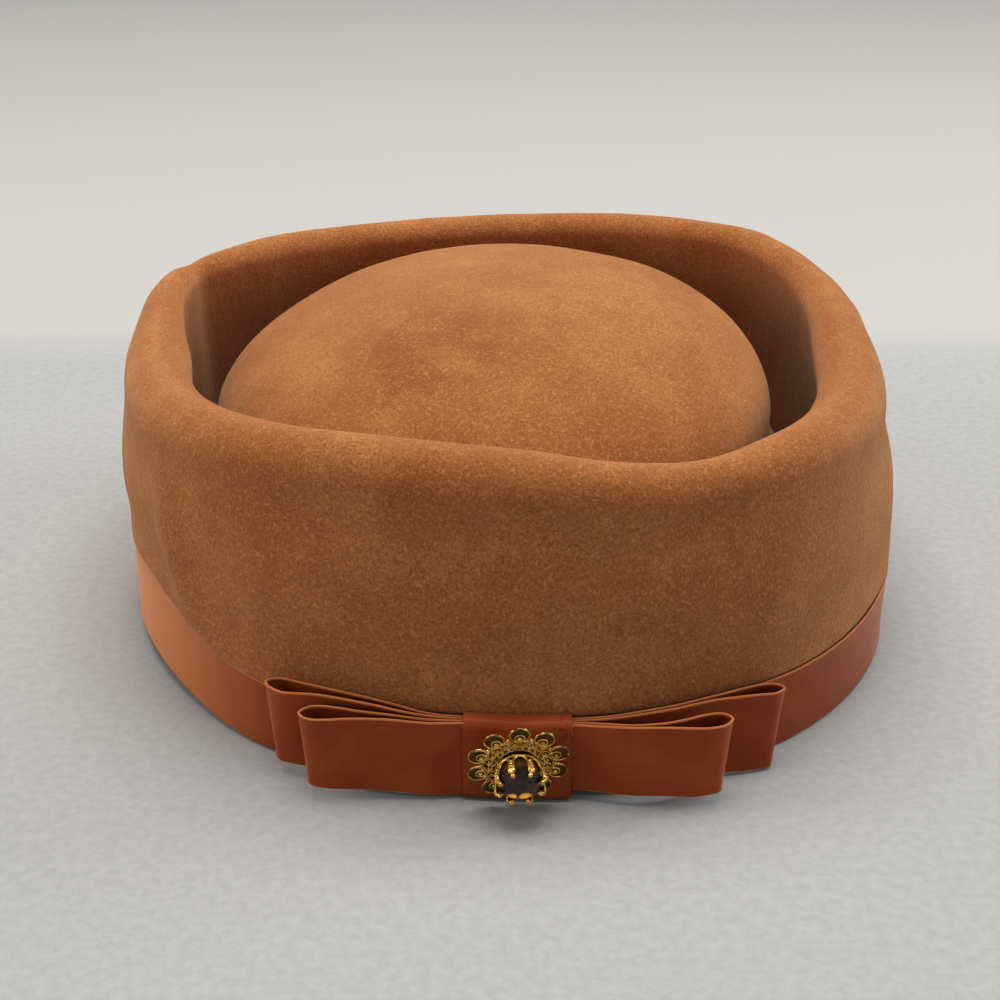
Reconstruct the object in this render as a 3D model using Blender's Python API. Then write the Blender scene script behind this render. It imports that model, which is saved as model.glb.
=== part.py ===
"""A felt pillbox hat: a domed crown inside a turned-up cuff with a soft rolled rim, a satin ribbon
band round its foot, a flat double bow at the front and a gilt filigree brooch with a round stone.

Metres, +Z up. The front of the hat faces -Y and +X is on the viewer's right. The origin is under the
middle of the whole hat, on the surface it rests on. Bearings go round the hat in degrees from the
front, 90 at the right, 180 at the back and 270 at the left.
"""

import math
from collections import namedtuple

import bmesh
import bpy
from mathutils import Vector

# Felt
FELT = 0.0022
PLAN_HALF_X = 0.0922
PLAN_HALF_Y = 0.1013
PLAN_POWER = 2.1
PLAN_SIDES = 60
GAP = 0.0003

# Ribbon band
RIBBON = 0.0005
BAND_WIDTH = 0.0188
BAND_LIFT = 0.0003
BAND_PRESS = 0.0008
PRESS_RISE = 0.0018

# Cuff
RIM_HEIGHT = 0.070
ROLL_WIDTH = 0.0155
ROLL_DROP = 0.0085
ROLL_STEPS = 7
FOLD_GAP = 0.0005
WELL_ROUND = 0.003
SEAM_RISE = 0.012
WALL_BELLY = 0.0012
WALL_RISE = (0.0, 0.28, 0.56, 0.8, 1.0)
LINING_FALL = (0.14, 0.3, 0.5, 0.75, 0.99)

# Crown
CROWN_HEIGHT = 0.0786
CROWN_LIFT = 0.0010
CROWN_GAP = 0.0007
TIP_FOOT = 0.0474
TIP_HALF_X = 0.0676
TIP_HALF_Y = 0.0771
TIP_SHIFT_X = -0.0038
TIP_SHIFT_Y = 0.0027
TIP_DRIFT_X = 0.0070
TIP_ROUND = 0.95
TIP_FLATNESS = 1.2
TIP_ROWS = 7
SIDE_ROWS = 4

# Bow
BOW_WIDTH = 0.0170
BOW_LIFT = 0.0020
KNOT_HALF_WIDTH = 0.011
KNOT_ROUND = 0.0007
LOOP_STEP = 0.0008
LOOP_DEPTH = 0.010
LOOP_NARROWING = 0.035
LOOP_FOOT_SHARE = 0.94
LOOP_POINTS = 26
BACK_REACH_LEFT = 0.0521
BACK_REACH_RIGHT = 0.0560
FRONT_REACH_LEFT = 0.0444
FRONT_REACH_RIGHT = 0.0436

# Brooch: its face is tipped down and turned to the right by so many degrees
BROOCH_HEIGHT = 0.0121
BROOCH_TILT = 17.0
BROOCH_TURN = 4.0
PETALS = 10
PETAL_RING = 0.0083
PETAL_RADIUS = 0.0022
PETAL_HOLE = 0.00165
SCROLL_RING = 0.0049
SCROLL_HOLE = 0.0010
PLATE_RADIUS = 0.0068
PLATE = 0.0005
CUP_FOOT = 0.0030
CUP_TOP = 0.0043
CUP_HEIGHT = 0.0019
PRONGS = 8
PRONG_WIRE = 0.00042
GALLERY_WIRE = 0.00035
WIRE_SIDES = 5

# Stone
STONE_RADIUS = 0.0047
STONE_TABLE = 0.0027
STONE_GIRDLE_RISE = 0.0054
STONE_GIRDLE = 0.0003
STONE_CROWN = 0.0013
STONE_PAVILION = 0.0030
STONE_SIDES = 8

# Sections of the cuff round the hat: how far the plan stands out (share of PLAN_HALF_X), the rim's
# height (share of RIM_HEIGHT), the wall's lean in at the rim and the roll's width (shares of ROLL_WIDTH)
Section = namedtuple("Section", "bearing full rim lean roll")
SECTIONS = (
    Section(0, 0.000, 1.030, 0.20, 1.00),
    Section(12, 0.008, 0.996, 0.13, 0.90),
    Section(24, 0.008, 0.969, 0.14, 0.75),
    Section(36, 0.019, 0.985, 0.14, 0.85),
    Section(60, 0.022, 0.968, 0.22, 1.05),
    Section(90, 0.006, 0.970, 0.24, 0.95),
    Section(115, 0.000, 0.982, -0.06, 0.78),
    Section(135, 0.002, 0.995, -0.22, 0.62),
    Section(155, 0.000, 0.977, -0.07, 0.60),
    Section(180, 0.000, 0.953, 0.14, 0.60),
    Section(205, 0.000, 0.951, 0.14, 0.60),
    Section(225, 0.000, 0.961, -0.02, 0.58),
    Section(238, 0.003, 0.958, -0.20, 0.50),
    Section(248, 0.005, 0.971, -0.16, 0.60),
    Section(262, 0.009, 0.970, 0.02, 0.85),
    Section(290, 0.003, 0.971, 0.00, 1.00),
    Section(312, -0.003, 1.000, -0.03, 1.00),
    Section(326, 0.004, 1.025, 0.08, 1.00),
    Section(342, -0.010, 1.042, 0.16, 1.00),
)

# Ribbon loops seen from above, from the knot out along the back layer, round the fold and back:
# along is a share of the loop's reach, out a share of LOOP_DEPTH off the band
Turn = namedtuple("Turn", "along out")
BACK_LEFT = (
    Turn(0.37, 0.10), Turn(0.59, 0.10), Turn(0.72, 0.10), Turn(0.83, 0.10), Turn(0.93, 0.14),
    Turn(0.98, 0.30), Turn(1.00, 0.47), Turn(0.98, 0.62), Turn(0.93, 0.68), Turn(0.88, 0.59),
    Turn(0.80, 0.44), Turn(0.70, 0.38), Turn(0.58, 0.33), Turn(0.42, 0.26),
)
BACK_RIGHT = (
    Turn(0.38, 0.11), Turn(0.56, 0.13), Turn(0.74, 0.12), Turn(0.88, 0.16), Turn(0.96, 0.32),
    Turn(1.00, 0.60), Turn(0.985, 0.70), Turn(0.955, 0.70), Turn(0.90, 0.56), Turn(0.75, 0.30),
    Turn(0.66, 0.25), Turn(0.56, 0.25), Turn(0.40, 0.21),
)
FRONT_LEFT = (
    Turn(0.43, 0.35), Turn(0.56, 0.44), Turn(0.72, 0.53), Turn(0.82, 0.56), Turn(0.90, 0.63),
    Turn(0.96, 0.78), Turn(1.00, 1.06), Turn(0.98, 1.20), Turn(0.94, 1.22), Turn(0.88, 1.12),
    Turn(0.75, 0.86), Turn(0.62, 0.68), Turn(0.43, 0.49),
)
FRONT_RIGHT = (
    Turn(0.41, 0.36), Turn(0.53, 0.58), Turn(0.65, 0.70), Turn(0.76, 0.74), Turn(0.87, 0.74),
    Turn(0.955, 0.84), Turn(1.00, 1.11), Turn(0.97, 1.28), Turn(0.93, 1.30), Turn(0.86, 1.22),
    Turn(0.72, 0.95), Turn(0.55, 0.70), Turn(0.41, 0.46),
)

# Colours, linear
FELT_COLOUR = (0.33, 0.12, 0.045, 1.0)
RIBBON_COLOUR = (0.30, 0.075, 0.030, 1.0)
GILT_COLOUR = (0.75, 0.48, 0.14, 1.0)
STONE_COLOUR = (0.16, 0.05, 0.02, 1.0)

# What follows from the sizes above
BAND_TOP = BAND_LIFT + BAND_WIDTH
WALL_FOOT = BAND_TOP + PRESS_RISE
FOLD = BAND_PRESS + 2 * FELT + FOLD_GAP
CROWN_INSET = FOLD + CROWN_GAP
BOW_TOP = BOW_LIFT + BOW_WIDTH
KNOT_OUT = 4 * LOOP_STEP + GAP + RIBBON
BROOCH_OUT = KNOT_OUT + GAP


def clear_scene():
    for item in list(bpy.data.objects):
        bpy.data.objects.remove(item, do_unlink=True)


def material(name, colour, roughness, metallic=0.0, transmission=0.0):
    made = bpy.data.materials.new(name)
    made.use_nodes = True
    shader = made.node_tree.nodes["Principled BSDF"]
    shader.inputs["Base Color"].default_value = colour
    shader.inputs["Roughness"].default_value = roughness
    shader.inputs["Metallic"].default_value = metallic
    shader.inputs["Transmission Weight"].default_value = transmission
    return made


def blend(before, low, high, after, share):
    """Smooth value between low and high, given their neighbours as (place, value) pairs."""
    span = high[0] - low[0]
    slope_low = (high[1] - before[1]) / (high[0] - before[0])
    slope_high = (after[1] - low[1]) / (after[0] - low[0])
    s2 = share * share
    s3 = s2 * share
    return (
        (2 * s3 - 3 * s2 + 1) * low[1]
        + (s3 - 2 * s2 + share) * span * slope_low
        + (3 * s2 - 2 * s3) * high[1]
        + (s3 - s2) * span * slope_high
    )


def around(column, bearing):
    """A column of SECTIONS at any bearing, smooth all the way round."""
    turn = bearing % 360
    count = len(SECTIONS)
    low = max(i for i in range(count) if SECTIONS[i].bearing <= turn)
    pairs = []
    for i in range(low - 1, low + 3):
        section = SECTIONS[i % count]
        pairs.append((section.bearing + 360 * (i // count), getattr(section, column)))
    share = (turn - pairs[1][0]) / (pairs[2][0] - pairs[1][0])
    return blend(*pairs, share)


def oval(bearing, half_x, half_y):
    angle = math.radians(bearing)
    x = abs(math.sin(angle)) / half_x
    y = abs(math.cos(angle)) / half_y
    return (x**PLAN_POWER + y**PLAN_POWER) ** (-1 / PLAN_POWER)


def plan_radius(bearing):
    """Distance from the hat's middle to the outside of the felt above the ribbon."""
    return oval(bearing, PLAN_HALF_X, PLAN_HALF_Y) + around("full", bearing) * PLAN_HALF_X


def place(bearing, radius, height):
    angle = math.radians(bearing)
    return Vector((radius * math.sin(angle), -radius * math.cos(angle), height))


def smooth_step(share):
    return share * share * (3 - 2 * share)


def soft_max(a, b, width):
    return (a + b + math.sqrt((a - b) ** 2 + width**2)) / 2


def crown_radius(bearing, height):
    """The crown's radius about its own middle: flared from the tip's foot down to the headline."""
    tip = oval(bearing, TIP_HALF_X, TIP_HALF_Y)
    if height > TIP_FOOT:
        up = (height - TIP_FOOT) / (CROWN_HEIGHT - TIP_FOOT)
        turn = math.asin(min(up, 1.0) ** (1 / TIP_FLATNESS))
        return tip * math.cos(turn) ** TIP_ROUND
    foot = plan_radius(bearing) - CROWN_INSET
    return tip + (foot - tip) * smooth_step(1 - height / TIP_FOOT)


def crown_middle(height):
    """How far the crown's middle is off the hat's at a height: the tip sits askew and leans."""
    set_over = smooth_step(min(height / TIP_FOOT, 1.0))
    lean = max(0.0, (height - TIP_FOOT) / (CROWN_HEIGHT - TIP_FOOT))
    return Vector((TIP_SHIFT_X * set_over + TIP_DRIFT_X * lean, TIP_SHIFT_Y * set_over, 0.0))


def crown_reach(bearing, height):
    """Distance from the hat's middle to the crown's outside."""
    return crown_radius(bearing, height) + crown_middle(height).dot(place(bearing, 1.0, 0.0))


def ring_mesh(name, rings, closed_rows=False, cap_top=None):
    """Mesh through rings of points, each ring one row; rows may close on themselves."""
    mesh = bmesh.new()
    rows = [[mesh.verts.new(point) for point in ring] for ring in rings]
    pairs = list(zip(rows, rows[1:]))
    if closed_rows:
        pairs.append((rows[-1], rows[0]))
    for low, high in pairs:
        count = len(low)
        for i in range(count):
            j = (i + 1) % count
            mesh.faces.new((low[i], low[j], high[j], high[i]))
    if cap_top is not None:
        tip = mesh.verts.new(cap_top)
        last = rows[-1]
        for i in range(len(last)):
            mesh.faces.new((last[i], last[(i + 1) % len(last)], tip))
    return finish_mesh(name, mesh)


def finish_mesh(name, mesh):
    data = bpy.data.meshes.new(name)
    mesh.normal_update()
    mesh.to_mesh(data)
    mesh.free()
    return data


def outward(data):
    """Turn a closed mesh's faces to point out."""
    mesh = bmesh.new()
    mesh.from_mesh(data)
    bmesh.ops.recalc_face_normals(mesh, faces=mesh.faces)
    mesh.to_mesh(data)
    mesh.free()


def add_object(name, data, parent, finish, smooth=True):
    made = bpy.data.objects.new(name, data)
    bpy.context.scene.collection.objects.link(made)
    made.parent = parent
    data.materials.append(finish)
    if smooth:
        data.shade_smooth()
        data.set_sharp_from_angle(angle=math.radians(40))
    return made


def thicken(made, thickness):
    """Give a single sheet its thickness on the hidden side."""
    solid = made.modifiers.new("thickness", "SOLIDIFY")
    solid.thickness = thickness
    solid.offset = -1.0
    solid.use_even_offset = True


def bearings():
    return [360 * i / PLAN_SIDES for i in range(PLAN_SIDES)]


def cuff_section(bearing):
    """Radius and height along the cuff's visible side: outer foot, wall, roll, then down inside."""
    out = plan_radius(bearing)
    rim = RIM_HEIGHT * around("rim", bearing)
    lean = ROLL_WIDTH * around("lean", bearing)
    half = ROLL_WIDTH * around("roll", bearing) / 2
    drop = ROLL_DROP * around("roll", bearing)
    shoulder = rim - drop
    points = [(out - BAND_PRESS, 0.0), (out - BAND_PRESS, BAND_TOP)]
    for share in WALL_RISE:
        height = WALL_FOOT + share * (shoulder - WALL_FOOT)
        belly = WALL_BELLY * math.sin(math.pi * share)
        points.append((out - lean * smooth_step(share) + belly, height))
    middle = out - lean - half
    for step in range(1, ROLL_STEPS + 1):
        angle = math.pi * step / ROLL_STEPS
        points.append((middle + half * math.cos(angle), shoulder + drop * math.sin(angle)))
    for share in LINING_FALL:
        height = shoulder * (1 - share)
        wall = out - lean * smooth_step(1 - share)
        lip = wall - 2 * half * (1 - share) - FOLD * share
        along_crown = crown_reach(bearing, height) + CROWN_GAP
        loose = soft_max(lip, along_crown, WELL_ROUND) - along_crown
        points.append((min(along_crown + loose * min(height / SEAM_RISE, 1.0), wall - FOLD), height))
    return points


def make_cuff(parent, felt):
    sections = [cuff_section(bearing) for bearing in bearings()]
    rings = []
    for row in range(len(sections[0])):
        rings.append([place(b, *sections[i][row]) for i, b in enumerate(bearings())])
    made = add_object("cuff", ring_mesh("cuff", rings), parent, felt)
    thicken(made, FELT)


def make_crown(parent, felt):
    heights = [CROWN_LIFT] + [TIP_FOOT * (i + 1) / SIDE_ROWS for i in range(SIDE_ROWS)]
    for i in range(1, TIP_ROWS):
        rise = math.sin(math.pi / 2 * i / TIP_ROWS) ** TIP_FLATNESS
        heights.append(TIP_FOOT + (CROWN_HEIGHT - TIP_FOOT) * rise)
    rings = []
    for height in heights:
        middle = crown_middle(height)
        rings.append([place(b, crown_radius(b, height), height) + middle for b in bearings()])
    top = crown_middle(CROWN_HEIGHT) + Vector((0.0, 0.0, CROWN_HEIGHT))
    made = add_object("crown", ring_mesh("crown", rings, cap_top=top), parent, felt)
    thicken(made, FELT)


def make_band(parent, satin):
    inside = BAND_PRESS - GAP
    corners = (
        (inside, BAND_LIFT),
        (inside - RIBBON, BAND_LIFT),
        (inside - RIBBON, BAND_TOP),
        (inside, BAND_TOP),
    )
    rings = []
    for inset, height in corners:
        rings.append([place(b, plan_radius(b) - inset, height) for b in bearings()])
    add_object("hat_band", ring_mesh("hat_band", rings, closed_rows=True), parent, satin)


def bearing_of(x):
    """Bearing at the front of the band where the plan is x to the side of the middle."""
    low, high = -80.0, 80.0
    for _ in range(40):
        middle = (low + high) / 2
        if plan_radius(middle) * math.sin(math.radians(middle)) < x:
            low = middle
        else:
            high = middle
    return (low + high) / 2


def off_band(x, out, height):
    """A point straight in front of the band's surface at x."""
    bearing = bearing_of(x)
    return place(bearing, plan_radius(bearing), height) - Vector((0.0, out + RIBBON / 2, 0.0))


def smooth_path(points, count):
    """Points evenly spread along a smooth closed curve through the given ones."""
    total = len(points)
    fine = []
    parts = 12
    for i in range(total):
        p0, p1, p2, p3 = (points[(i + k) % total] for k in (-1, 0, 1, 2))
        for part in range(parts):
            t = part / parts
            fine.append(
                0.5
                * (
                    2 * p1
                    + (p2 - p0) * t
                    + (2 * p0 - 5 * p1 + 4 * p2 - p3) * t * t
                    + (3 * p1 - p0 - 3 * p2 + p3) * t * t * t
                )
            )
    lengths = [0.0]
    for a, b in zip(fine, fine[1:] + fine[:1]):
        lengths.append(lengths[-1] + (b - a).length)
    spread = []
    k = 0
    for i in range(count):
        target = lengths[-1] * i / count
        while lengths[k + 1] < target:
            k += 1
        share = (target - lengths[k]) / (lengths[k + 1] - lengths[k])
        spread.append(fine[k].lerp(fine[(k + 1) % len(fine)], share))
    return spread


def loop_path(left, right, reach_left, reach_right, layer, foot):
    """Closed path of one ribbon loop pair; layer is its place in the stack under the knot."""
    narrow = 1 - LOOP_NARROWING if foot else 1.0
    height = BOW_LIFT if foot else BOW_TOP
    inner = (layer + 0.5) * LOOP_STEP
    outer = inner + LOOP_STEP

    def point(side, reach, turn):
        out = turn.out * LOOP_DEPTH
        if foot:
            near = inner if out < inner else outer
            out = near + (out - near) * LOOP_FOOT_SHARE
        return off_band(side * turn.along * reach * narrow, out, height)

    under_knot = (-KNOT_HALF_WIDTH, 0.0, KNOT_HALF_WIDTH)
    points = [off_band(x, inner, height) for x in under_knot]
    points += [point(1, reach_right, turn) for turn in right]
    points += [off_band(-x, outer, height) for x in under_knot]
    points += [point(-1, reach_left, turn) for turn in reversed(left)]
    return points


def ribbon_loop(name, paths, parent, satin):
    """Ribbon on edge along a closed path, its foot and top paths given."""
    rings = []
    for path in paths:
        spread = smooth_path(path, 2 * LOOP_POINTS)
        sides = ([], [])
        for i, here in enumerate(spread):
            along = (spread[(i + 1) % len(spread)] - spread[i - 1]).normalized()
            across = Vector((along.y, -along.x, 0.0)) * (RIBBON / 2)
            sides[0].append(here - across)
            sides[1].append(here + across)
        rings.append(sides)
    order = [rings[0][0], rings[0][1], rings[1][1], rings[1][0]]
    data = ring_mesh(name, order, closed_rows=True)
    outward(data)
    add_object(name, data, parent, satin)


def make_loops(parent, satin):
    back = (BACK_LEFT, BACK_RIGHT, BACK_REACH_LEFT, BACK_REACH_RIGHT, 0)
    front = (FRONT_LEFT, FRONT_RIGHT, FRONT_REACH_LEFT, FRONT_REACH_RIGHT, 2)
    for name, shape in (("bow_back", back), ("bow_front", front)):
        ribbon_loop(name, [loop_path(*shape, foot) for foot in (True, False)], parent, satin)


def knot_section():
    """Out from the band and height, round the ribbon's thickness, from the foot over the front."""
    outer_low = BOW_LIFT - GAP - RIBBON
    outer_high = BOW_TOP + GAP + RIBBON
    outside = [
        (GAP, outer_low),
        (KNOT_OUT - KNOT_ROUND, outer_low),
        (KNOT_OUT, outer_low + KNOT_ROUND),
        (KNOT_OUT, outer_high - KNOT_ROUND),
        (KNOT_OUT - KNOT_ROUND, outer_high),
        (GAP, outer_high),
    ]
    turned = KNOT_ROUND * math.tan(math.pi / 8)
    inside = [
        (GAP, outer_high - RIBBON),
        (KNOT_OUT - KNOT_ROUND, outer_high - RIBBON),
        (KNOT_OUT - RIBBON, outer_high - RIBBON - turned),
        (KNOT_OUT - RIBBON, outer_low + RIBBON + turned),
        (KNOT_OUT - KNOT_ROUND, outer_low + RIBBON),
        (GAP, outer_low + RIBBON),
    ]
    return outside + inside


def make_knot(parent, satin):
    stations = 7
    mesh = bmesh.new()
    rows = []
    for i in range(stations):
        x = KNOT_HALF_WIDTH * (2 * i / (stations - 1) - 1)
        points = [off_band(x, out - RIBBON / 2, height) for out, height in knot_section()]
        rows.append([mesh.verts.new(point) for point in points])
    count = len(rows[0])
    for low, high in zip(rows, rows[1:]):
        for i in range(count):
            j = (i + 1) % count
            mesh.faces.new((low[i], low[j], high[j], high[i]))
    for row in (rows[0], rows[-1]):
        for i in range(count // 2 - 1):
            mesh.faces.new((row[i], row[i + 1], row[count - 2 - i], row[count - 1 - i]))
    data = finish_mesh("bow_knot", mesh)
    outward(data)
    add_object("bow_knot", data, parent, satin)


def circle(radius, sides, centre=(0.0, 0.0), start=0.0):
    points = []
    for i in range(sides):
        angle = start + 2 * math.pi * i / sides
        points.append((centre[0] + radius * math.cos(angle), centre[1] + radius * math.sin(angle)))
    return points


def flower_outline():
    """Scalloped edge of the filigree: a round arc for each petal, joined at the plate."""
    spread = math.acos(
        (PLATE_RADIUS**2 - PETAL_RING**2 - PETAL_RADIUS**2) / (2 * PETAL_RING * PETAL_RADIUS)
    )
    points = []
    for i in range(PETALS):
        turn = math.pi / 2 + 2 * math.pi * i / PETALS
        centre = (PETAL_RING * math.cos(turn), PETAL_RING * math.sin(turn))
        for k in range(8):
            angle = turn - spread + 2 * spread * k / 7
            points.append(
                (centre[0] + PETAL_RADIUS * math.cos(angle), centre[1] + PETAL_RADIUS * math.sin(angle))
            )
    return points


def filigree_plate():
    """Stamped flower, pierced in every petal and in a ring of scrolls."""
    outlines = [flower_outline()]
    for i in range(PETALS):
        turn = math.pi / 2 + 2 * math.pi * i / PETALS
        centre = (PETAL_RING * math.cos(turn), PETAL_RING * math.sin(turn))
        outlines.append(circle(PETAL_HOLE, 10, centre, turn))
        turn += math.pi / PETALS
        centre = (SCROLL_RING * math.cos(turn), SCROLL_RING * math.sin(turn))
        outlines.append(circle(SCROLL_HOLE, 8, centre, turn))
    curve = bpy.data.curves.new("filigree", "CURVE")
    curve.dimensions = "2D"
    curve.fill_mode = "BOTH"
    curve.extrude = PLATE / 2
    for outline in outlines:
        spline = curve.splines.new("POLY")
        spline.points.add(len(outline) - 1)
        for point, (x, y) in zip(spline.points, outline):
            point.co = (x, y, 0.0, 1.0)
        spline.use_cyclic_u = True
    holder = bpy.data.objects.new("filigree", curve)
    data = bpy.data.meshes.new_from_object(holder)
    bpy.data.objects.remove(holder)
    mesh = bmesh.new()
    mesh.from_mesh(data)
    bmesh.ops.remove_doubles(mesh, verts=mesh.verts, dist=0.000001)
    bmesh.ops.translate(mesh, verts=mesh.verts, vec=(0.0, 0.0, PLATE / 2))
    mesh.to_mesh(data)
    mesh.free()
    outward(data)
    return data


def wire(mesh, path, radius, level, closed=False):
    """Round wire along a flat path, square to the direction level, added as one closed body."""
    sides = WIRE_SIDES
    rows = []
    count = len(path)
    for i, here in enumerate(path):
        before = path[i - 1] if closed or i else here
        after = path[(i + 1) % count] if closed or i < count - 1 else here
        across = level.cross((after - before).normalized())
        ring = []
        for k in range(sides):
            angle = 2 * math.pi * k / sides
            point = here + (level * math.cos(angle) + across * math.sin(angle)) * radius
            ring.append(mesh.verts.new(point))
        rows.append(ring)
    pairs = list(zip(rows, rows[1:]))
    if closed:
        pairs.append((rows[-1], rows[0]))
    for low, high in pairs:
        for k in range(sides):
            j = (k + 1) % sides
            mesh.faces.new((low[k], low[j], high[j], high[k]))
    if not closed:
        mesh.faces.new(rows[0])
        mesh.faces.new(rows[-1])


def polar(radius, turn, rise):
    return Vector((radius * math.cos(turn), radius * math.sin(turn), rise))


def prong_path(turn):
    """Prong from the cup's foot, out round the girdle and in over the stone's edge."""
    out = STONE_RADIUS + GAP + PRONG_WIRE
    tip_rise = STONE_GIRDLE_RISE + STONE_GIRDLE + STONE_CROWN / 2 + PRONG_WIRE + GAP
    return [
        polar(CUP_FOOT, turn, PLATE / 2),
        polar(CUP_TOP, turn, CUP_HEIGHT),
        polar(out, turn, STONE_GIRDLE_RISE - STONE_GIRDLE),
        polar(out, turn, STONE_GIRDLE_RISE + 2 * STONE_GIRDLE),
        polar(STONE_RADIUS - PRONG_WIRE / 2, turn, tip_rise),
    ]


def setting():
    """Cup, prongs and gallery wire of the setting, as overlapping closed bodies."""
    mesh = bmesh.new()
    sides = 2 * PRONGS
    rows = []
    for radius, rise in ((CUP_FOOT, PLATE), (CUP_TOP, CUP_HEIGHT)):
        rows.append([mesh.verts.new(polar(radius, 2 * math.pi * i / sides, rise)) for i in range(sides)])
    for i in range(sides):
        j = (i + 1) % sides
        mesh.faces.new((rows[0][i], rows[0][j], rows[1][j], rows[1][i]))
    mesh.faces.new(rows[0])
    mesh.faces.new(rows[1])
    for i in range(PRONGS):
        turn = math.pi * (2 * i + 1) / PRONGS
        wire(mesh, prong_path(turn), PRONG_WIRE, polar(1.0, turn + math.pi / 2, 0.0))
    ring = [polar(CUP_TOP, 2 * math.pi * i / sides, CUP_HEIGHT) for i in range(sides)]
    wire(mesh, ring, GALLERY_WIRE, Vector((0.0, 0.0, 1.0)), closed=True)
    data = finish_mesh("setting", mesh)
    outward(data)
    return data


def brooch_place(parent, made):
    """Stand a piece modelled along +Z in front of the knot, its lowest petal just clear of it."""
    tilt = math.radians(BROOCH_TILT)
    turn = math.radians(BROOCH_TURN)
    back = math.hypot(math.sin(turn), math.cos(turn) * math.sin(tilt))
    stand = (PETAL_RING + PETAL_RADIUS) * back
    made.parent = parent
    made.location = (0.0, -(plan_radius(0) + BROOCH_OUT + stand), BROOCH_HEIGHT)
    made.rotation_euler = (math.pi / 2 + tilt, 0.0, turn)


def make_brooch(parent, gilt):
    made = add_object("brooch", filigree_plate(), parent, gilt)
    brooch_place(parent, made)
    cutter = add_object("brooch_setting", setting(), parent, gilt)
    brooch_place(parent, cutter)
    cutter.hide_render = True
    cutter.display_type = "WIRE"
    union = made.modifiers.new("setting", "BOOLEAN")
    union.operation = "UNION"
    union.object = cutter
    union.use_self = True


def make_stone(parent, glass):
    """Round cut stone: an eight-sided table, kites and triangles to the girdle, a pointed back."""
    sides = STONE_SIDES
    low = STONE_GIRDLE_RISE
    high = low + STONE_GIRDLE
    mesh = bmesh.new()

    def ring(radius, rise, count, start):
        points = [polar(radius, start + 2 * math.pi * i / count, rise) for i in range(count)]
        return [mesh.verts.new(point) for point in points]

    culet = mesh.verts.new(Vector((0.0, 0.0, low - STONE_PAVILION)))
    under = ring(STONE_RADIUS, low, 2 * sides, 0.0)
    over = ring(STONE_RADIUS, high, 2 * sides, 0.0)
    table = ring(STONE_TABLE, high + STONE_CROWN, sides, 0.0)
    for i in range(2 * sides):
        j = (i + 1) % (2 * sides)
        mesh.faces.new((culet, under[i], under[j]))
        mesh.faces.new((under[i], over[i], over[j], under[j]))
    for i in range(sides):
        j = (i + 1) % sides
        before, middle, after = (over[(2 * i + k) % (2 * sides)] for k in range(3))
        mesh.faces.new((before, table[i], middle))
        mesh.faces.new((middle, table[j], after))
        mesh.faces.new((table[i], table[j], middle))
    mesh.faces.new(table)
    data = finish_mesh("stone", mesh)
    outward(data)
    made = add_object("stone", data, parent, glass, smooth=False)
    brooch_place(parent, made)


def centre(parent):
    """Shift the hat front to back, so that the origin is under the middle of the whole."""
    reach = [(made.matrix_basis @ vert.co).y for made in parent.children for vert in made.data.vertices]
    parent.location.y = -(min(reach) + max(reach)) / 2


def build():
    clear_scene()
    hat = bpy.data.objects.new("hat", None)
    bpy.context.scene.collection.objects.link(hat)
    felt = material("felt", FELT_COLOUR, 0.95)
    satin = material("satin", RIBBON_COLOUR, 0.45)
    gilt = material("gilt", GILT_COLOUR, 0.3, metallic=1.0)
    glass = material("glass", STONE_COLOUR, 0.05, transmission=0.8)
    make_crown(hat, felt)
    make_cuff(hat, felt)
    make_band(hat, satin)
    make_loops(hat, satin)
    make_knot(hat, satin)
    make_brooch(hat, gilt)
    make_stone(hat, glass)
    centre(hat)


build()
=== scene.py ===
"""Looks of the felt pillbox hat: felt crown and rolled cuff, satin ribbon band and bow, gilt brooch
with a smoky amber stone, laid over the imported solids.

Metres, +Z up, the front of the hat faces -Y. Bearings go round the hat in degrees from the front,
90 at the right, 180 at the back and 270 at the left. Sizes from felt to stone are the part's own.
"""

import math
from collections import namedtuple

import bmesh
import bpy
from mathutils import Matrix, Vector, noise


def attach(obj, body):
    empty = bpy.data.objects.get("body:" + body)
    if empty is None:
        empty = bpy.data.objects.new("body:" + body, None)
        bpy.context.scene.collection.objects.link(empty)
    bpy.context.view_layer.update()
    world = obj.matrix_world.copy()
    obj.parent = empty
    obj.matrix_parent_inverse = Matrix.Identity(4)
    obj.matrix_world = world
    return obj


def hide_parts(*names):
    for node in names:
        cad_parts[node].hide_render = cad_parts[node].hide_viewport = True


# Felt
FELT = 0.0022
PLAN_HALF_X = 0.0922
PLAN_HALF_Y = 0.1013
PLAN_POWER = 2.1
GAP = 0.0003

# Ribbon band
RIBBON = 0.0005
BAND_WIDTH = 0.0188
BAND_LIFT = 0.0003
BAND_PRESS = 0.0008

# Cuff
RIM_HEIGHT = 0.070
ROLL_WIDTH = 0.0155
ROLL_DROP = 0.0085
FOLD_GAP = 0.0005
WELL_ROUND = 0.003
SEAM_RISE = 0.012
WALL_BELLY = 0.0012

# Crown
CROWN_HEIGHT = 0.0786
CROWN_LIFT = 0.0010
CROWN_GAP = 0.0007
TIP_FOOT = 0.0474
TIP_HALF_X = 0.0676
TIP_HALF_Y = 0.0771
TIP_SHIFT_X = -0.0038
TIP_SHIFT_Y = 0.0027
TIP_DRIFT_X = 0.0070
TIP_ROUND = 0.95
TIP_FLATNESS = 1.2

# Bow
BOW_WIDTH = 0.0170
BOW_LIFT = 0.0020
KNOT_HALF_WIDTH = 0.011
LOOP_STEP = 0.0008
LOOP_DEPTH = 0.010
LOOP_NARROWING = 0.035
LOOP_FOOT_SHARE = 0.94
BACK_REACH_LEFT = 0.0521
BACK_REACH_RIGHT = 0.0560
FRONT_REACH_LEFT = 0.0444
FRONT_REACH_RIGHT = 0.0436
FOLD_CREASE = 0.40
KNOT_SQUEEZE = 0.0008

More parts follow.
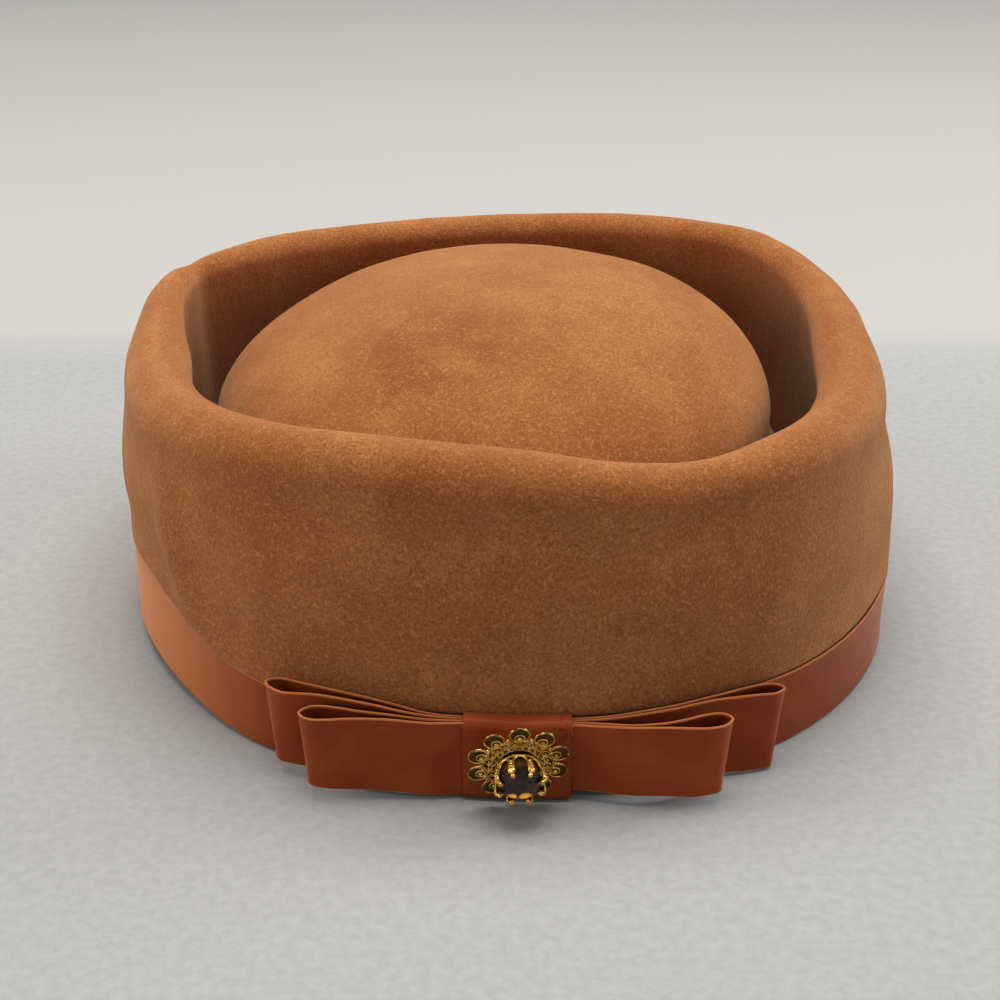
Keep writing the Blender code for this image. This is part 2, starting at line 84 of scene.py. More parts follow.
# Brooch and stone: the face is tipped down and turned to the right by so many degrees
BROOCH_HEIGHT = 0.0121
BROOCH_TILT = 17.0
BROOCH_TURN = 4.0
PETALS = 10
PETAL_RING = 0.0083
PETAL_RADIUS = 0.0022
PETAL_WIRE = 0.00025
PLATE = 0.0005
CUP_FOOT = 0.0030
CUP_TOP = 0.0043
CUP_HEIGHT = 0.0019
PRONGS = 8
STONE_RADIUS = 0.0047
STONE_TABLE = 0.0027
STONE_GIRDLE_RISE = 0.0054
STONE_GIRDLE = 0.0003
STONE_CROWN = 0.0013
STONE_PAVILION = 0.0030
STONE_SIDES = 8

# Fineness of the meshes
AROUND = 360
WALL_ROWS = 26
ROLL_ROWS = 22
LINING_ROWS = 22
CROWN_SIDE_ROWS = 24
CROWN_TIP_ROWS = 34
LOOP_POINTS = 110

# Edges of cloth that turn by more degrees than this stay sharp
CUT_EDGE = 40

# How far down the cuff's inner layer reaches
LINING_REACH = 0.99

# Felt lip over the ribbon, fullest at the front left
LIP_BEARING = 310
LIP_SPREAD = 40
LIP_BULGE = 0.0009
LIP_LEAST = 0.25
LIP_ROUND = 0.0011
LIP_ROWS = 5
LIP_RUN = 0.22
LIP_TUCKS = (0.0020, 0.0004)

# The foot is lifted off the surface at the left front
LIFT_BEARING = 297
LIFT_SPREAD = 34
LIFT = 0.0031
LIFT_GONE = 0.022

# Fold that runs up the wall at the left front: a ridge that leans with height, and a valley beside it
RIDGE_BEARING = 315.7
RIDGE_SLANT = 179.0
RIDGE_SPREAD = 3.4
RIDGE_RISE = 0.0024
RIDGE_START = -0.002
RIDGE_GROWTH = 0.014
RIDGE_TOP = 0.060
RIDGE_FADE = 0.020
VALLEY_OFF = 9.0
VALLEY_SPREAD = 5.0
VALLEY_SHARE = 0.4

# Fuller wall at the left
FULL_BEARING = 276
FULL_SPREAD = 30
FULL_RISE = 0.0009
FULL_GROWTH = 0.018
FULL_TOP = 0.058
FULL_FADE = 0.025

# Pinched corner of the rim at the back left
CORNER_BEARING = 240.6
CORNER_SPREAD = 3.3
CORNER_DIP = 0.0010
CORNER_PINCH = 0.16

# Soft lumps: how far across one is and how high, and where those of the felt set in
Lumps = namedtuple("Lumps", "across rise")
WALL_LUMPS = (Lumps(0.045, 0.0009), Lumps(0.014, 0.0003))
WALL_LUMPS_GROWTH = 0.010
CROWN_LUMPS = (Lumps(0.040, 0.0008), Lumps(0.013, 0.0002))
CROWN_LUMPS_FROM = 0.020
CROWN_LUMPS_GROWTH = 0.020
CROWN_LUMPS_OUT = 0.6
CROWN_LUMPS_UP = 0.8
BAND_LUMPS = Lumps(0.011, 0.00016)
BAND_LUMPS_RADIUS = 0.08
LOOP_LUMPS = Lumps(0.012, 0.0005)

# Painted shade in the well between crown and cuff: rows before and along the lining, height on the crown
HOLLOW_EARLY = 4
HOLLOW_ROWS = 9
HOLLOW_HEIGHT = 0.055
HOLLOW_FADE = 0.012

# Share of a ribbon's thickness from its woven edge inward, and the band's slack at the right front
EdgeRow = namedtuple("EdgeRow", "inward thick")
WOVEN_EDGE = (EdgeRow(0.0, 0.55), EdgeRow(0.0002, 1.00), EdgeRow(0.00066, 0.95), EdgeRow(0.0011, 0.70))
RIBBON_ROWS = 5
BAND_TUCK = 0.0001
BAND_SLACK = 0.0007
BAND_SLACK_BEARING = 48
BAND_SLACK_SPREAD = 42

# Knot: rounded foot and top, gathers at its upper right, and a slack pull across its face
KNOT_STATIONS = 60
KNOT_FOOT_ROUND = 0.0011
KNOT_TOP_ROUND = 0.0018
GATHER_ACROSS = 0.95
GATHER_UP = 0.90
GATHER_FOLDS = 7.0
GATHER_TURN = 0.6
GATHER_RISE = 0.00024
GATHER_REACH = 0.0048
GATHER_START = 0.0010
SLACK_RISE = 0.00025
SLACK_LENGTH = 0.0042
SLACK_TURN = 0.8
SLACK_FROM = 0.011
SLACK_GROWTH = 0.008

Section = namedtuple("Section", "bearing full rim lean roll")
SECTIONS = (
    Section(0, 0.000, 1.030, 0.20, 1.00),
    Section(12, 0.008, 0.996, 0.13, 0.90),
    Section(24, 0.008, 0.969, 0.14, 0.75),
    Section(36, 0.019, 0.985, 0.14, 0.85),
    Section(60, 0.022, 0.968, 0.22, 1.05),
    Section(90, 0.006, 0.970, 0.24, 0.95),
    Section(115, 0.000, 0.982, -0.06, 0.78),
    Section(135, 0.002, 0.995, -0.22, 0.62),
    Section(155, 0.000, 0.977, -0.07, 0.60),
    Section(180, 0.000, 0.953, 0.14, 0.60),
    Section(205, 0.000, 0.951, 0.14, 0.60),
    Section(225, 0.000, 0.961, -0.02, 0.58),
    Section(238, 0.003, 0.958, -0.20, 0.50),
    Section(248, 0.005, 0.971, -0.16, 0.60),
    Section(262, 0.009, 0.970, 0.02, 0.76),
    Section(276, 0.006, 0.970, 0.01, 1.04),
    Section(290, 0.003, 0.971, 0.00, 1.03),
    Section(312, -0.003, 1.000, -0.03, 1.00),
    Section(326, 0.004, 1.025, 0.08, 1.00),
    Section(342, -0.010, 1.042, 0.16, 1.00),
)

# Top of the ribbon that shows under the felt, as a share of BAND_TOP
Seen = namedtuple("Seen", "bearing top")
RIBBON_SEEN = (
    Seen(0, 0.942), Seen(15, 0.927), Seen(42, 0.932), Seen(60, 0.990), Seen(90, 1.000),
    Seen(180, 1.000), Seen(250, 1.000), Seen(270, 1.020), Seen(285, 1.150), Seen(297, 1.290),
    Seen(303, 1.300), Seen(310, 1.190), Seen(315, 1.045), Seen(321, 0.925), Seen(330, 0.840),
    Seen(342, 0.885), Seen(352, 0.935),
)

Turn = namedtuple("Turn", "along out")
BACK_LEFT = (
    Turn(0.37, 0.10), Turn(0.59, 0.10), Turn(0.72, 0.10), Turn(0.83, 0.10), Turn(0.93, 0.14),
    Turn(0.98, 0.30), Turn(1.00, 0.47), Turn(0.98, 0.62), Turn(0.93, 0.68), Turn(0.88, 0.59),
    Turn(0.80, 0.44), Turn(0.70, 0.38), Turn(0.58, 0.33), Turn(0.42, 0.26),
)
BACK_RIGHT = (
    Turn(0.38, 0.11), Turn(0.56, 0.13), Turn(0.74, 0.12), Turn(0.88, 0.16), Turn(0.96, 0.32),
    Turn(1.00, 0.60), Turn(0.985, 0.70), Turn(0.955, 0.70), Turn(0.90, 0.56), Turn(0.75, 0.30),
    Turn(0.66, 0.25), Turn(0.56, 0.25), Turn(0.40, 0.21),
)
FRONT_LEFT = (
    Turn(0.43, 0.35), Turn(0.56, 0.44), Turn(0.72, 0.53), Turn(0.82, 0.56), Turn(0.90, 0.63),
    Turn(0.96, 0.78), Turn(1.00, 1.06), Turn(0.98, 1.20), Turn(0.94, 1.22), Turn(0.88, 1.12),
    Turn(0.75, 0.86), Turn(0.62, 0.68), Turn(0.43, 0.49),
)
FRONT_RIGHT = (
    Turn(0.41, 0.36), Turn(0.53, 0.58), Turn(0.65, 0.70), Turn(0.76, 0.74), Turn(0.87, 0.74),
    Turn(0.955, 0.84), Turn(1.00, 1.11), Turn(0.97, 1.28), Turn(0.93, 1.30), Turn(0.86, 1.22),
    Turn(0.72, 0.95), Turn(0.55, 0.70), Turn(0.41, 0.46),
)

# How far a loop's foot stands off its straight course at the knot and at its end, and its top at the
# end: left loop, then right loop
Hang = namedtuple("Hang", "foot_knot foot_end top_end")
BACK_HANG = (Hang(0.0, 0.0012, 0.0014), Hang(0.0, -0.0015, 0.0))
FRONT_HANG = (Hang(-0.0012, 0.0009, 0.0002), Hang(0.0006, 0.0005, 0.0))

# Where along a loop the hang sets in, where its foot is creased, and where it comes loose of the knot
TOP_HANG_FROM = 0.30
TOP_HANG_OVER = 0.40
FOOT_HANG_FROM = 0.25
FOLD_OUT = 0.6
FOLD_ALONG = 0.9
LOOSE_FROM = 0.012
LOOSE_OVER = 0.020
SQUEEZE_OVER = 0.8

# Filigree of one petal. Turns are off the petal's middle, to both sides; rises are off the plate
Curl = namedtuple("Curl", "out turn rise radius wire steps sweep")
ROUND = 2 * math.pi
PETAL_CURL = Curl(0.0079, 0.0, 0.0002, 0.00092, 0.00022, 24, ROUND)
SIDE_CURLS = (
    Curl(0.0060, 0.158, 0.0, 0.00074, 0.00024, 18, 5.2),
    Curl(0.0047, 0.160, 0.0, 0.00050, 0.00018, 14, ROUND),
)
CURL_START = 0.6
Grain = namedtuple("Grain", "out turn rise radius")
PETAL_GRAIN = Grain(0.0079, 0.0, 0.0003, 0.00050)
BETWEEN_GRAIN = Grain(0.0075, math.pi / PETALS, 0.0002, 0.00046)
SIDE_GRAINS = (Grain(0.0072, 0.135, 0.0002, 0.00040), Grain(0.0060, 0.158, 0.0001, 0.00030))
PETAL_OUT = 0.0002
PETAL_TWIST = 26
# Rises of the disc inside each petal, a dark sheet of painted shade
BACKING = (0.00002, 0.00012)
FLOWER_PLATE = ((0.0074, 0.00004), (0.0074, 0.00016))
TieRing = namedtuple("TieRing", "radius wire")
TIE_RINGS = (TieRing(0.0071, 0.00026), TieRing(0.0053, 0.00022), TieRing(0.0041, 0.00024))
TIE_TWIST = 70
ROPE_DEPTH = 0.16

# Setting: windows between the prongs, beads up each prong, and the claws
STONE_AIR = 0.00045
WINDOW_SHARE = 0.80
WINDOW_ROUND = 0.0015
WINDOW_WIRE = 0.00034
WINDOW_TURN_STEPS = 9
WINDOW_LEG_STEPS = 5
WINDOW_LEG_STEP = 0.0006
BEAD_RISES = (0.0034, 0.0042, 0.0050, 0.0058)
BEAD_OUT = 0.00015
BEAD_RADIUS = 0.00034
CLAW_FOOT = 0.0056
CLAW_RISE = 0.0009
CLAW_WIRE = 0.00036
CLAW_TIP = 0.00052

# Facets of the stone: shares of its crown, pavilion and radius, and how far the stars are set in
STAR_RISE = 0.62
STAR_INSET = 0.0001
MAIN_DROP = 0.62
MAIN_RADIUS = 0.42

# What follows from the sizes above
BAND_TOP = BAND_LIFT + BAND_WIDTH
FOLD = BAND_PRESS + 2 * FELT + FOLD_GAP
CROWN_INSET = FOLD + CROWN_GAP
BOW_TOP = BOW_LIFT + BOW_WIDTH
KNOT_OUT = 4 * LOOP_STEP + GAP + RIBBON
BROOCH_OUT = KNOT_OUT + GAP

# The felt's middle is behind the middle of the whole hat by half of what the bow stands out
CENTRE_Y = 0.00767

# Camera
CAMERA_SPIN = 1.0
CAMERA_PITCH = 25.0
CAMERA_ROLL = -0.45
CAMERA_REACH = 0.4568
CAMERA_AIM = (-0.00214, 0.0, 0.01949)
CAMERA_LENS = 64.8

# Stage and light
FLOOR_HALF = 3.0
BACKDROP_FROM = 0.155
BACKDROP_FULL = 0.200
WORLD_COLOUR = (0.95, 0.97, 1.0, 1.0)
WORLD_STRENGTH = 0.34
LIGHT_AIM = (0.0, 0.0, 0.03)
Light = namedtuple("Light", "name spot size power colour")
LIGHTS = (
    Light("top", (0.0, 0.15, 1.20), 0.9, 14.8, (1.0, 0.98, 0.92)),
    Light("left", (-1.05, 0.05, 0.42), 0.6, 4.2, (1.0, 0.93, 0.76)),
    Light("right", (1.0, 0.30, 0.60), 0.5, 5.0, (0.98, 0.97, 0.96)),
)


def blend(before, low, high, after, share):
    """Smooth value between low and high, given their neighbours as (place, value) pairs."""
    span = high[0] - low[0]
    slope_low = (high[1] - before[1]) / (high[0] - before[0])
    slope_high = (after[1] - low[1]) / (after[0] - low[0])
    s2 = share * share
    s3 = s2 * share
    return (
        (2 * s3 - 3 * s2 + 1) * low[1]
        + (s3 - 2 * s2 + share) * span * slope_low
        + (3 * s2 - 2 * s3) * high[1]
        + (s3 - s2) * span * slope_high
    )


def around(column, bearing, table=SECTIONS):
    """A column of a table at any bearing, smooth all the way round."""
    turn = bearing % 360
    count = len(table)
    low = max(i for i in range(count) if table[i].bearing <= turn)
    pairs = []
    for i in range(low - 1, low + 3):
        section = table[i % count]
        pairs.append((section.bearing + 360 * (i // count), getattr(section, column)))
    share = (turn - pairs[1][0]) / (pairs[2][0] - pairs[1][0])
    return blend(*pairs, share)


def oval(bearing, half_x, half_y):
    angle = math.radians(bearing)
    x = abs(math.sin(angle)) / half_x
    y = abs(math.cos(angle)) / half_y
    return (x**PLAN_POWER + y**PLAN_POWER) ** (-1 / PLAN_POWER)


def plan_radius(bearing):
    """Distance from the hat's middle to the outside of the felt above the ribbon."""
    return oval(bearing, PLAN_HALF_X, PLAN_HALF_Y) + around("full", bearing) * PLAN_HALF_X


def place(bearing, radius, height):
    angle = math.radians(bearing)
    return Vector((radius * math.sin(angle), CENTRE_Y - radius * math.cos(angle), height))


def direction(bearing):
    angle = math.radians(bearing)
    return Vector((math.sin(angle), -math.cos(angle), 0.0))


def smooth_step(share):
    share = min(max(share, 0.0), 1.0)
    return share * share * (3 - 2 * share)


def soft_max(a, b, width):
    return (a + b + math.sqrt((a - b) ** 2 + width**2)) / 2


def bump_at(bearing, middle, spread):
    """1 at a bearing, falling smoothly to 0 at spread degrees to either side."""
    off = abs((bearing - middle + 180) % 360 - 180)
    return smooth_step(1 - off / spread)


def crown_radius(bearing, height):
    """The crown's radius about its own middle: flared from the tip's foot down to the headline."""
    tip = oval(bearing, TIP_HALF_X, TIP_HALF_Y)
    if height > TIP_FOOT:
        up = (height - TIP_FOOT) / (CROWN_HEIGHT - TIP_FOOT)
        turn = math.asin(min(up, 1.0) ** (1 / TIP_FLATNESS))
        return tip * math.cos(turn) ** TIP_ROUND
    foot = plan_radius(bearing) - CROWN_INSET
    return tip + (foot - tip) * smooth_step(1 - height / TIP_FOOT)


def crown_middle(height):
    """How far the crown's middle is off the hat's at a height: the tip sits askew and leans."""
    set_over = smooth_step(height / TIP_FOOT)
    lean = max(0.0, (height - TIP_FOOT) / (CROWN_HEIGHT - TIP_FOOT))
    return Vector((TIP_SHIFT_X * set_over + TIP_DRIFT_X * lean, TIP_SHIFT_Y * set_over, 0.0))


def crown_reach(bearing, height):
    """Distance from the hat's middle to the crown's outside."""
    return crown_radius(bearing, height) + crown_middle(height).dot(direction(bearing))


def bearings():
    return [360 * i / AROUND for i in range(AROUND)]


def uneven(point, *kinds):
    """Soft unevenness at a point, from one or more kinds of lumps."""
    return sum(noise.noise(point / lumps.across) * lumps.rise for lumps in kinds)


def ring_mesh(name, rings, closed_rows=False, cap_top=None):
    """Mesh through rings of points, each ring one row; rows may close on themselves."""
    mesh = bmesh.new()
    rows = [[mesh.verts.new(point) for point in ring] for ring in rings]
    pairs = list(zip(rows, rows[1:]))
    if closed_rows:
        pairs.append((rows[-1], rows[0]))
    for low, high in pairs:
        count = len(low)
        for i in range(count):
            j = (i + 1) % count
            mesh.faces.new((low[i], low[j], high[j], high[i]))
    if cap_top is not None:
        tip = mesh.verts.new(cap_top)
        last = rows[-1]
        for i in range(len(last)):
            mesh.faces.new((last[i], last[(i + 1) % len(last)], tip))
    return finish_mesh(name, mesh)


def finish_mesh(name, mesh, outward=False):
    if outward:
        bmesh.ops.recalc_face_normals(mesh, faces=mesh.faces)
    data = bpy.data.meshes.new(name)
    mesh.normal_update()
    mesh.to_mesh(data)
    mesh.free()
    return data


def new_object(name, data, *finishes):
    made = bpy.data.objects.new(name, data)
    bpy.context.scene.collection.objects.link(made)
    for finish in finishes:
        data.materials.append(finish)
    return made


def add_cloth(name, data, finish, node):
    """A felt or ribbon piece, smooth but for its cut edges, in place of its solid."""
    made = new_object(name, data, finish)
    data.shade_smooth()
    data.set_sharp_from_angle(angle=math.radians(CUT_EDGE))
    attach(made, "root")
    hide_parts(node)
    return made


def thicken(made, thickness, offset=-1.0):
    """Give a sheet its thickness: inward at an offset of -1, to both sides at 0."""
    solid = made.modifiers.new("thickness", "SOLIDIFY")
    solid.thickness = thickness
    solid.offset = offset
    solid.use_even_offset = True


class Nodes:
    """Short hand for building a material's nodes."""

    def __init__(self, name):
        self.material = bpy.data.materials.new(name)
        self.material.use_nodes = True
        self.tree = self.material.node_tree
        self.shader = self.tree.nodes["Principled BSDF"]
        self.point = self.add("ShaderNodeTexCoord").outputs["Object"]

    def add(self, kind, links=None, values=None, **settings):
        node = self.tree.nodes.new(kind)
        for name, value in settings.items():
            setattr(node, name, value)
        for name, value in (values or {}).items():
            node.inputs[name].default_value = value
        for name, socket in (links or {}).items():
            self.tree.links.new(socket, node.inputs[name])
        return node

    def stretched(self, scale):
        return self.add("ShaderNodeMapping", {"Vector": self.point}, {"Scale": scale}).outputs["Vector"]

    def noise(self, size, detail=2.0, rough=0.5, point=None):
        values = {"Scale": 1 / size, "Detail": detail, "Roughness": rough}
        return self.add("ShaderNodeTexNoise", {"Vector": point or self.point}, values).outputs["Fac"]

    def scaled(self, value, low, high, to_low=0.0, to_high=1.0):
        values = {"From Min": low, "From Max": high, "To Min": to_low, "To Max": to_high}
        made = self.add("ShaderNodeMapRange", {"Value": value}, values, interpolation_type="SMOOTHSTEP")
        return made.outputs["Result"]

    def math(self, operation, a, b):
        node = self.add("ShaderNodeMath", operation=operation)
        for i, value in enumerate((a, b)):
            if isinstance(value, (int, float)):
                node.inputs[i].default_value = value
            else:
                self.tree.links.new(value, node.inputs[i])
        return node.outputs["Value"]

    def both(self, a, b):
        return self.math("MULTIPLY", a, b)

    def either(self, a, b):
        return self.math("MAXIMUM", a, b)

    def mix(self, share, a, b):
        """Colour a where share is 0, b where it is 1."""
        node = self.add("ShaderNodeMix", data_type="RGBA")
        sockets = ((node.inputs[0], share), (node.inputs[6], a), (node.inputs[7], b))
        for socket, value in sockets:
            if isinstance(value, (int, float, tuple)):
                socket.default_value = value
            else:
                self.tree.links.new(value, socket)
        return node.outputs[2]

    def bump(self, height, strength, distance, under=None):
        links = {"Height": height}
        if under is not None:
            links["Normal"] = under
        values = {"Strength": strength, "Distance": distance}
        return self.add("ShaderNodeBump", links, values).outputs["Normal"]

    def axis(self, letter):
        return self.add("ShaderNodeSeparateXYZ", {"Vector": self.point}).outputs[letter]

    def mark(self, name):
        """A value kept on the mesh's vertices by mark_rows."""
        return self.add("ShaderNodeAttribute", attribute_name=name).outputs["Fac"]

    def open_share(self, distance, low, high):
        """1 where the surface is open to the light, 0 deep in a hollow."""
        node = self.add("ShaderNodeAmbientOcclusion", None, {"Distance": distance})
        return self.scaled(node.outputs["AO"], low, high)

    def near(self, centre, reach):
        """1 within half of reach of a point, falling to 0 at reach."""
        links = {0: self.point}
        node = self.add("ShaderNodeVectorMath", links, {1: centre}, operation="DISTANCE")
        return self.scaled(node.outputs["Value"], reach, reach / 2)

    def set(self, **values):
        for name, value in values.items():
            socket = self.shader.inputs[name.replace("_", " ")]
            if isinstance(value, bpy.types.NodeSocket):
                self.tree.links.new(value, socket)
            else:
                socket.default_value = value
        return self.material


def felt_material():
    """Brushed felt: short nap with a fine fibre grain, cloudy where it was stroked both ways, darkened by
    painted shade in the well between crown and cuff.
    """
    n = Nodes("felt")
    light = (0.490, 0.186, 0.060, 1.0)
    middle = (0.400, 0.134, 0.038, 1.0)
    dark = (0.260, 0.069, 0.017, 1.0)
    deep_fibre = (0.215, 0.056, 0.014, 1.0)
    pale_fibre = (0.700, 0.290, 0.110, 1.0)
    painted_well_shade = (0.130, 0.020, 0.004, 1.0)
    clouds = n.scaled(n.noise(0.030, 3.0, 0.55), 0.36, 0.66)
    patches = n.scaled(n.noise(0.007, 3.0, 0.6), 0.38, 0.66)
    stroked = n.both(n.near((-0.019, -0.026, 0.0765), 0.026), n.scaled(n.noise(0.010, 3.0), 0.30, 0.60))
    fibre = n.noise(0.00055, 3.0, 0.8)
    loose_fibre = n.noise(0.0008, 2.0, 0.7)
    colour = n.mix(clouds, middle, light)
    colour = n.mix(n.both(patches, 0.26), colour, dark)
    colour = n.mix(n.both(stroked, 0.74), colour, dark)
    colour = n.mix(n.scaled(fibre, 0.40, 0.62, 0.0, 0.72), colour, deep_fibre)
    colour = n.mix(n.scaled(loose_fibre, 0.52, 0.68, 0.0, 0.40), colour, pale_fibre)
    # painted shade: the felt goes darker where the mesh's hollow value marks the well between crown and
    # cuff
    colour = n.mix(n.both(n.mark("hollow"), 0.80), colour, painted_well_shade)
    normal = n.bump(n.noise(0.0020, 3.0, 0.6), 0.35, 0.0005)
    normal = n.bump(fibre, 0.65, 0.00038, normal)
    return n.set(
        Base_Color=colour,
        Roughness=0.95,
        Specular_IOR_Level=0.10,
        Sheen_Weight=0.40,
        Sheen_Roughness=0.45,
        Sheen_Tint=(1.0, 0.68, 0.38, 1.0),
        Normal=normal,
    )


def satin_material():
    """Satin ribbon: lengthwise threads, a paler woven edge on both sides brightened as a painted highlight,
    painted light toward the hat's left, and painted shade in its folds.
    """
    n = Nodes("satin")
    face = (0.340, 0.062, 0.016, 1.0)
    deep = (0.200, 0.030, 0.008, 1.0)
    edge = (0.700, 0.220, 0.075, 1.0)
    painted_left_light = (0.720, 0.235, 0.075, 1.0)
    painted_fold_shade = (0.035, 0.008, 0.004, 1.0)
    threads = n.noise(0.0011, 2.0, 0.6, n.stretched((0.14, 0.14, 3.5)))
    patches = n.scaled(n.noise(0.014, 2.0), 0.35, 0.65)
    across = n.mark("across")
    # a paler woven edge on both sides of the ribbon, brightened further as a painted highlight where light
    # catches the edges
    selvedge_highlight = n.either(n.scaled(across, 0.016, 0.006), n.scaled(across, 0.976, 0.988))
    colour = n.mix(n.both(patches, 0.5), face, deep)
    colour = n.mix(n.scaled(threads, 0.35, 0.65, 0.0, 0.20), colour, deep)
    # painted light: the ribbon turns paler orange toward the hat's left, standing in for the left lamp's
    # sheen on the satin
    colour = n.mix(n.scaled(n.axis("X"), -0.048, -0.088, 0.0, 0.85), colour, painted_left_light)
    colour = n.mix(n.both(selvedge_highlight, 0.80), colour, edge)
    # painted shade: near-black brown in the folds and between the stacked loops, where little light reaches
    colour = n.mix(n.open_share(0.006, 0.10, 0.60), painted_fold_shade, colour)
    normal = n.bump(threads, 0.18, 0.0002)
    normal = n.bump(n.noise(0.006, 2.0), 0.14, 0.0006, normal)
    return n.set(
        Base_Color=colour,
        Roughness=n.scaled(threads, 0.3, 0.7, 0.36, 0.46),
        Specular_IOR_Level=0.16,
        Specular_Tint=(1.0, 0.62, 0.40, 1.0),
        Sheen_Weight=0.34,
        Sheen_Roughness=0.34,
        Sheen_Tint=(1.0, 0.52, 0.26, 1.0),
        Normal=normal,
    )


def gilt_material():
    """Aged gilding: warm yellow where it is rubbed, browned in the hollows and round the petals."""
    n = Nodes("gilt")
    aged = (0.660, 0.330, 0.055, 1.0)
    rubbed = (1.000, 0.700, 0.190, 1.0)
    browned = (0.110, 0.078, 0.026, 1.0)
    in_hollows = (0.240, 0.082, 0.012, 1.0)
    worn = n.scaled(n.noise(0.0016, 3.0, 0.6), 0.38, 0.62)
    level = n.stretched((1.0, 1.0, 0.0))
    radius = n.add("ShaderNodeVectorMath", {0: level}, operation="LENGTH").outputs["Value"]
    dull = n.both(n.scaled(radius, 0.0076, 0.0100), n.scaled(n.noise(0.0011, 2.0), 0.30, 0.62))
    colour = n.mix(worn, aged, rubbed)
    colour = n.mix(n.both(dull, 0.9), colour, browned)
    colour = n.mix(n.open_share(0.0012, 0.20, 0.70), in_hollows, colour)
    normal = n.bump(n.noise(0.0004, 2.0), 0.25, 0.00008)
    return n.set(
        Base_Color=colour,
        Metallic=1.0,
        Roughness=n.scaled(worn, 0.0, 1.0, 0.38, 0.20),
        Normal=normal,
    )


def stone_material():
    """Smoky amber glass: nearly black brown, with two painted amber glints low on the table that glow
    weakly.
    """
    n = Nodes("stone")
    black = (0.0, 0.0, 0.0, 1.0)
    smoke = (0.009, 0.004, 0.003, 1.0)
    brown = (0.060, 0.017, 0.006, 1.0)
    amber = (0.950, 0.420, 0.050, 1.0)
    # painted glints: two amber spots stand in for light coming through the stone
    painted_glints = n.either(n.near((-0.0017, -0.0022, 0.0070), 0.0012), n.near((0.0010, -0.0024, 0.0070), 0.0016))
    depth = n.mix(n.scaled(n.noise(0.0028, 1.0), 0.35, 0.65), smoke, brown)
    return n.set(
        Base_Color=n.mix(painted_glints, depth, amber),
        Roughness=0.05,
        IOR=1.50,
        Specular_IOR_Level=0.35,
        # the painted glints glow weakly, though the stone is no lamp
        Emission_Color=n.mix(painted_glints, black, amber),
        Emission_Strength=0.30,
    )


def shade_metal_material():
    """Painted shade: near-black metal lining the setting's cup and filling the discs behind the petals,
    where the brooch lies in shade.
    """
    n = Nodes("gilt_painted_shade")
    painted_shade_black = (0.022, 0.007, 0.002, 1.0)
    brown = (0.110, 0.042, 0.008, 1.0)
    colour = n.mix(n.noise(0.0006, 2.0), painted_shade_black, brown)
    return n.set(Base_Color=colour, Roughness=0.6, Specular_IOR_Level=0.15)


def fleece_material():
    """Pale grey fleece under the hat, turning into a smooth warmer backdrop behind it."""
    n = Nodes("pale_floor")
    dark = (0.380, 0.384, 0.390, 1.0)
    light = (0.425, 0.430, 0.438, 1.0)
    backdrop = (0.485, 0.475, 0.460, 1.0)
    fleece = n.noise(0.0024, 3.0, 0.6)
    grey = n.mix(n.scaled(fleece, 0.3, 0.7), dark, light)
    colour = n.mix(n.scaled(n.axis("Y"), BACKDROP_FROM, BACKDROP_FULL), grey, backdrop)
    normal = n.bump(fleece, 0.18, 0.0005)
    return n.set(Base_Color=colour, Roughness=0.9, Specular_IOR_Level=0.1, Normal=normal)


def band_top(bearing):
    """Height of the ribbon's visible top edge."""
    return BAND_TOP * around("top", bearing, RIBBON_SEEN)


def lifted(bearing, height):
    """Rise of the hat's foot off the surface at a bearing, gone further up."""
    return LIFT * bump_at(bearing, LIFT_BEARING, LIFT_SPREAD) * smooth_step(1 - height / LIFT_GONE)


def bell(off, spread):
    return math.exp(-((off / spread) ** 2))


def wall_form(bearing, height):
    """The fold that runs up the wall at the left front, and the fuller wall at the left."""
    over = height - BAND_TOP
    off = bearing - RIDGE_BEARING + RIDGE_SLANT * over
    fold = bell(off, RIDGE_SPREAD) - VALLEY_SHARE * bell(off - VALLEY_OFF, VALLEY_SPREAD)
    fold *= smooth_step((RIDGE_TOP - height) / RIDGE_FADE)
    fold *= smooth_step((over - RIDGE_START) / RIDGE_GROWTH)
    full = bump_at(bearing, FULL_BEARING, FULL_SPREAD)
    full *= smooth_step((FULL_TOP - height) / FULL_FADE)
    full *= smooth_step(over / FULL_GROWTH)
    return RIDGE_RISE * fold + FULL_RISE * full


def corner(bearing):
    """1 in the middle of the pinch at the back left, falling away on both sides."""
    return bell(bearing - CORNER_BEARING, CORNER_SPREAD)


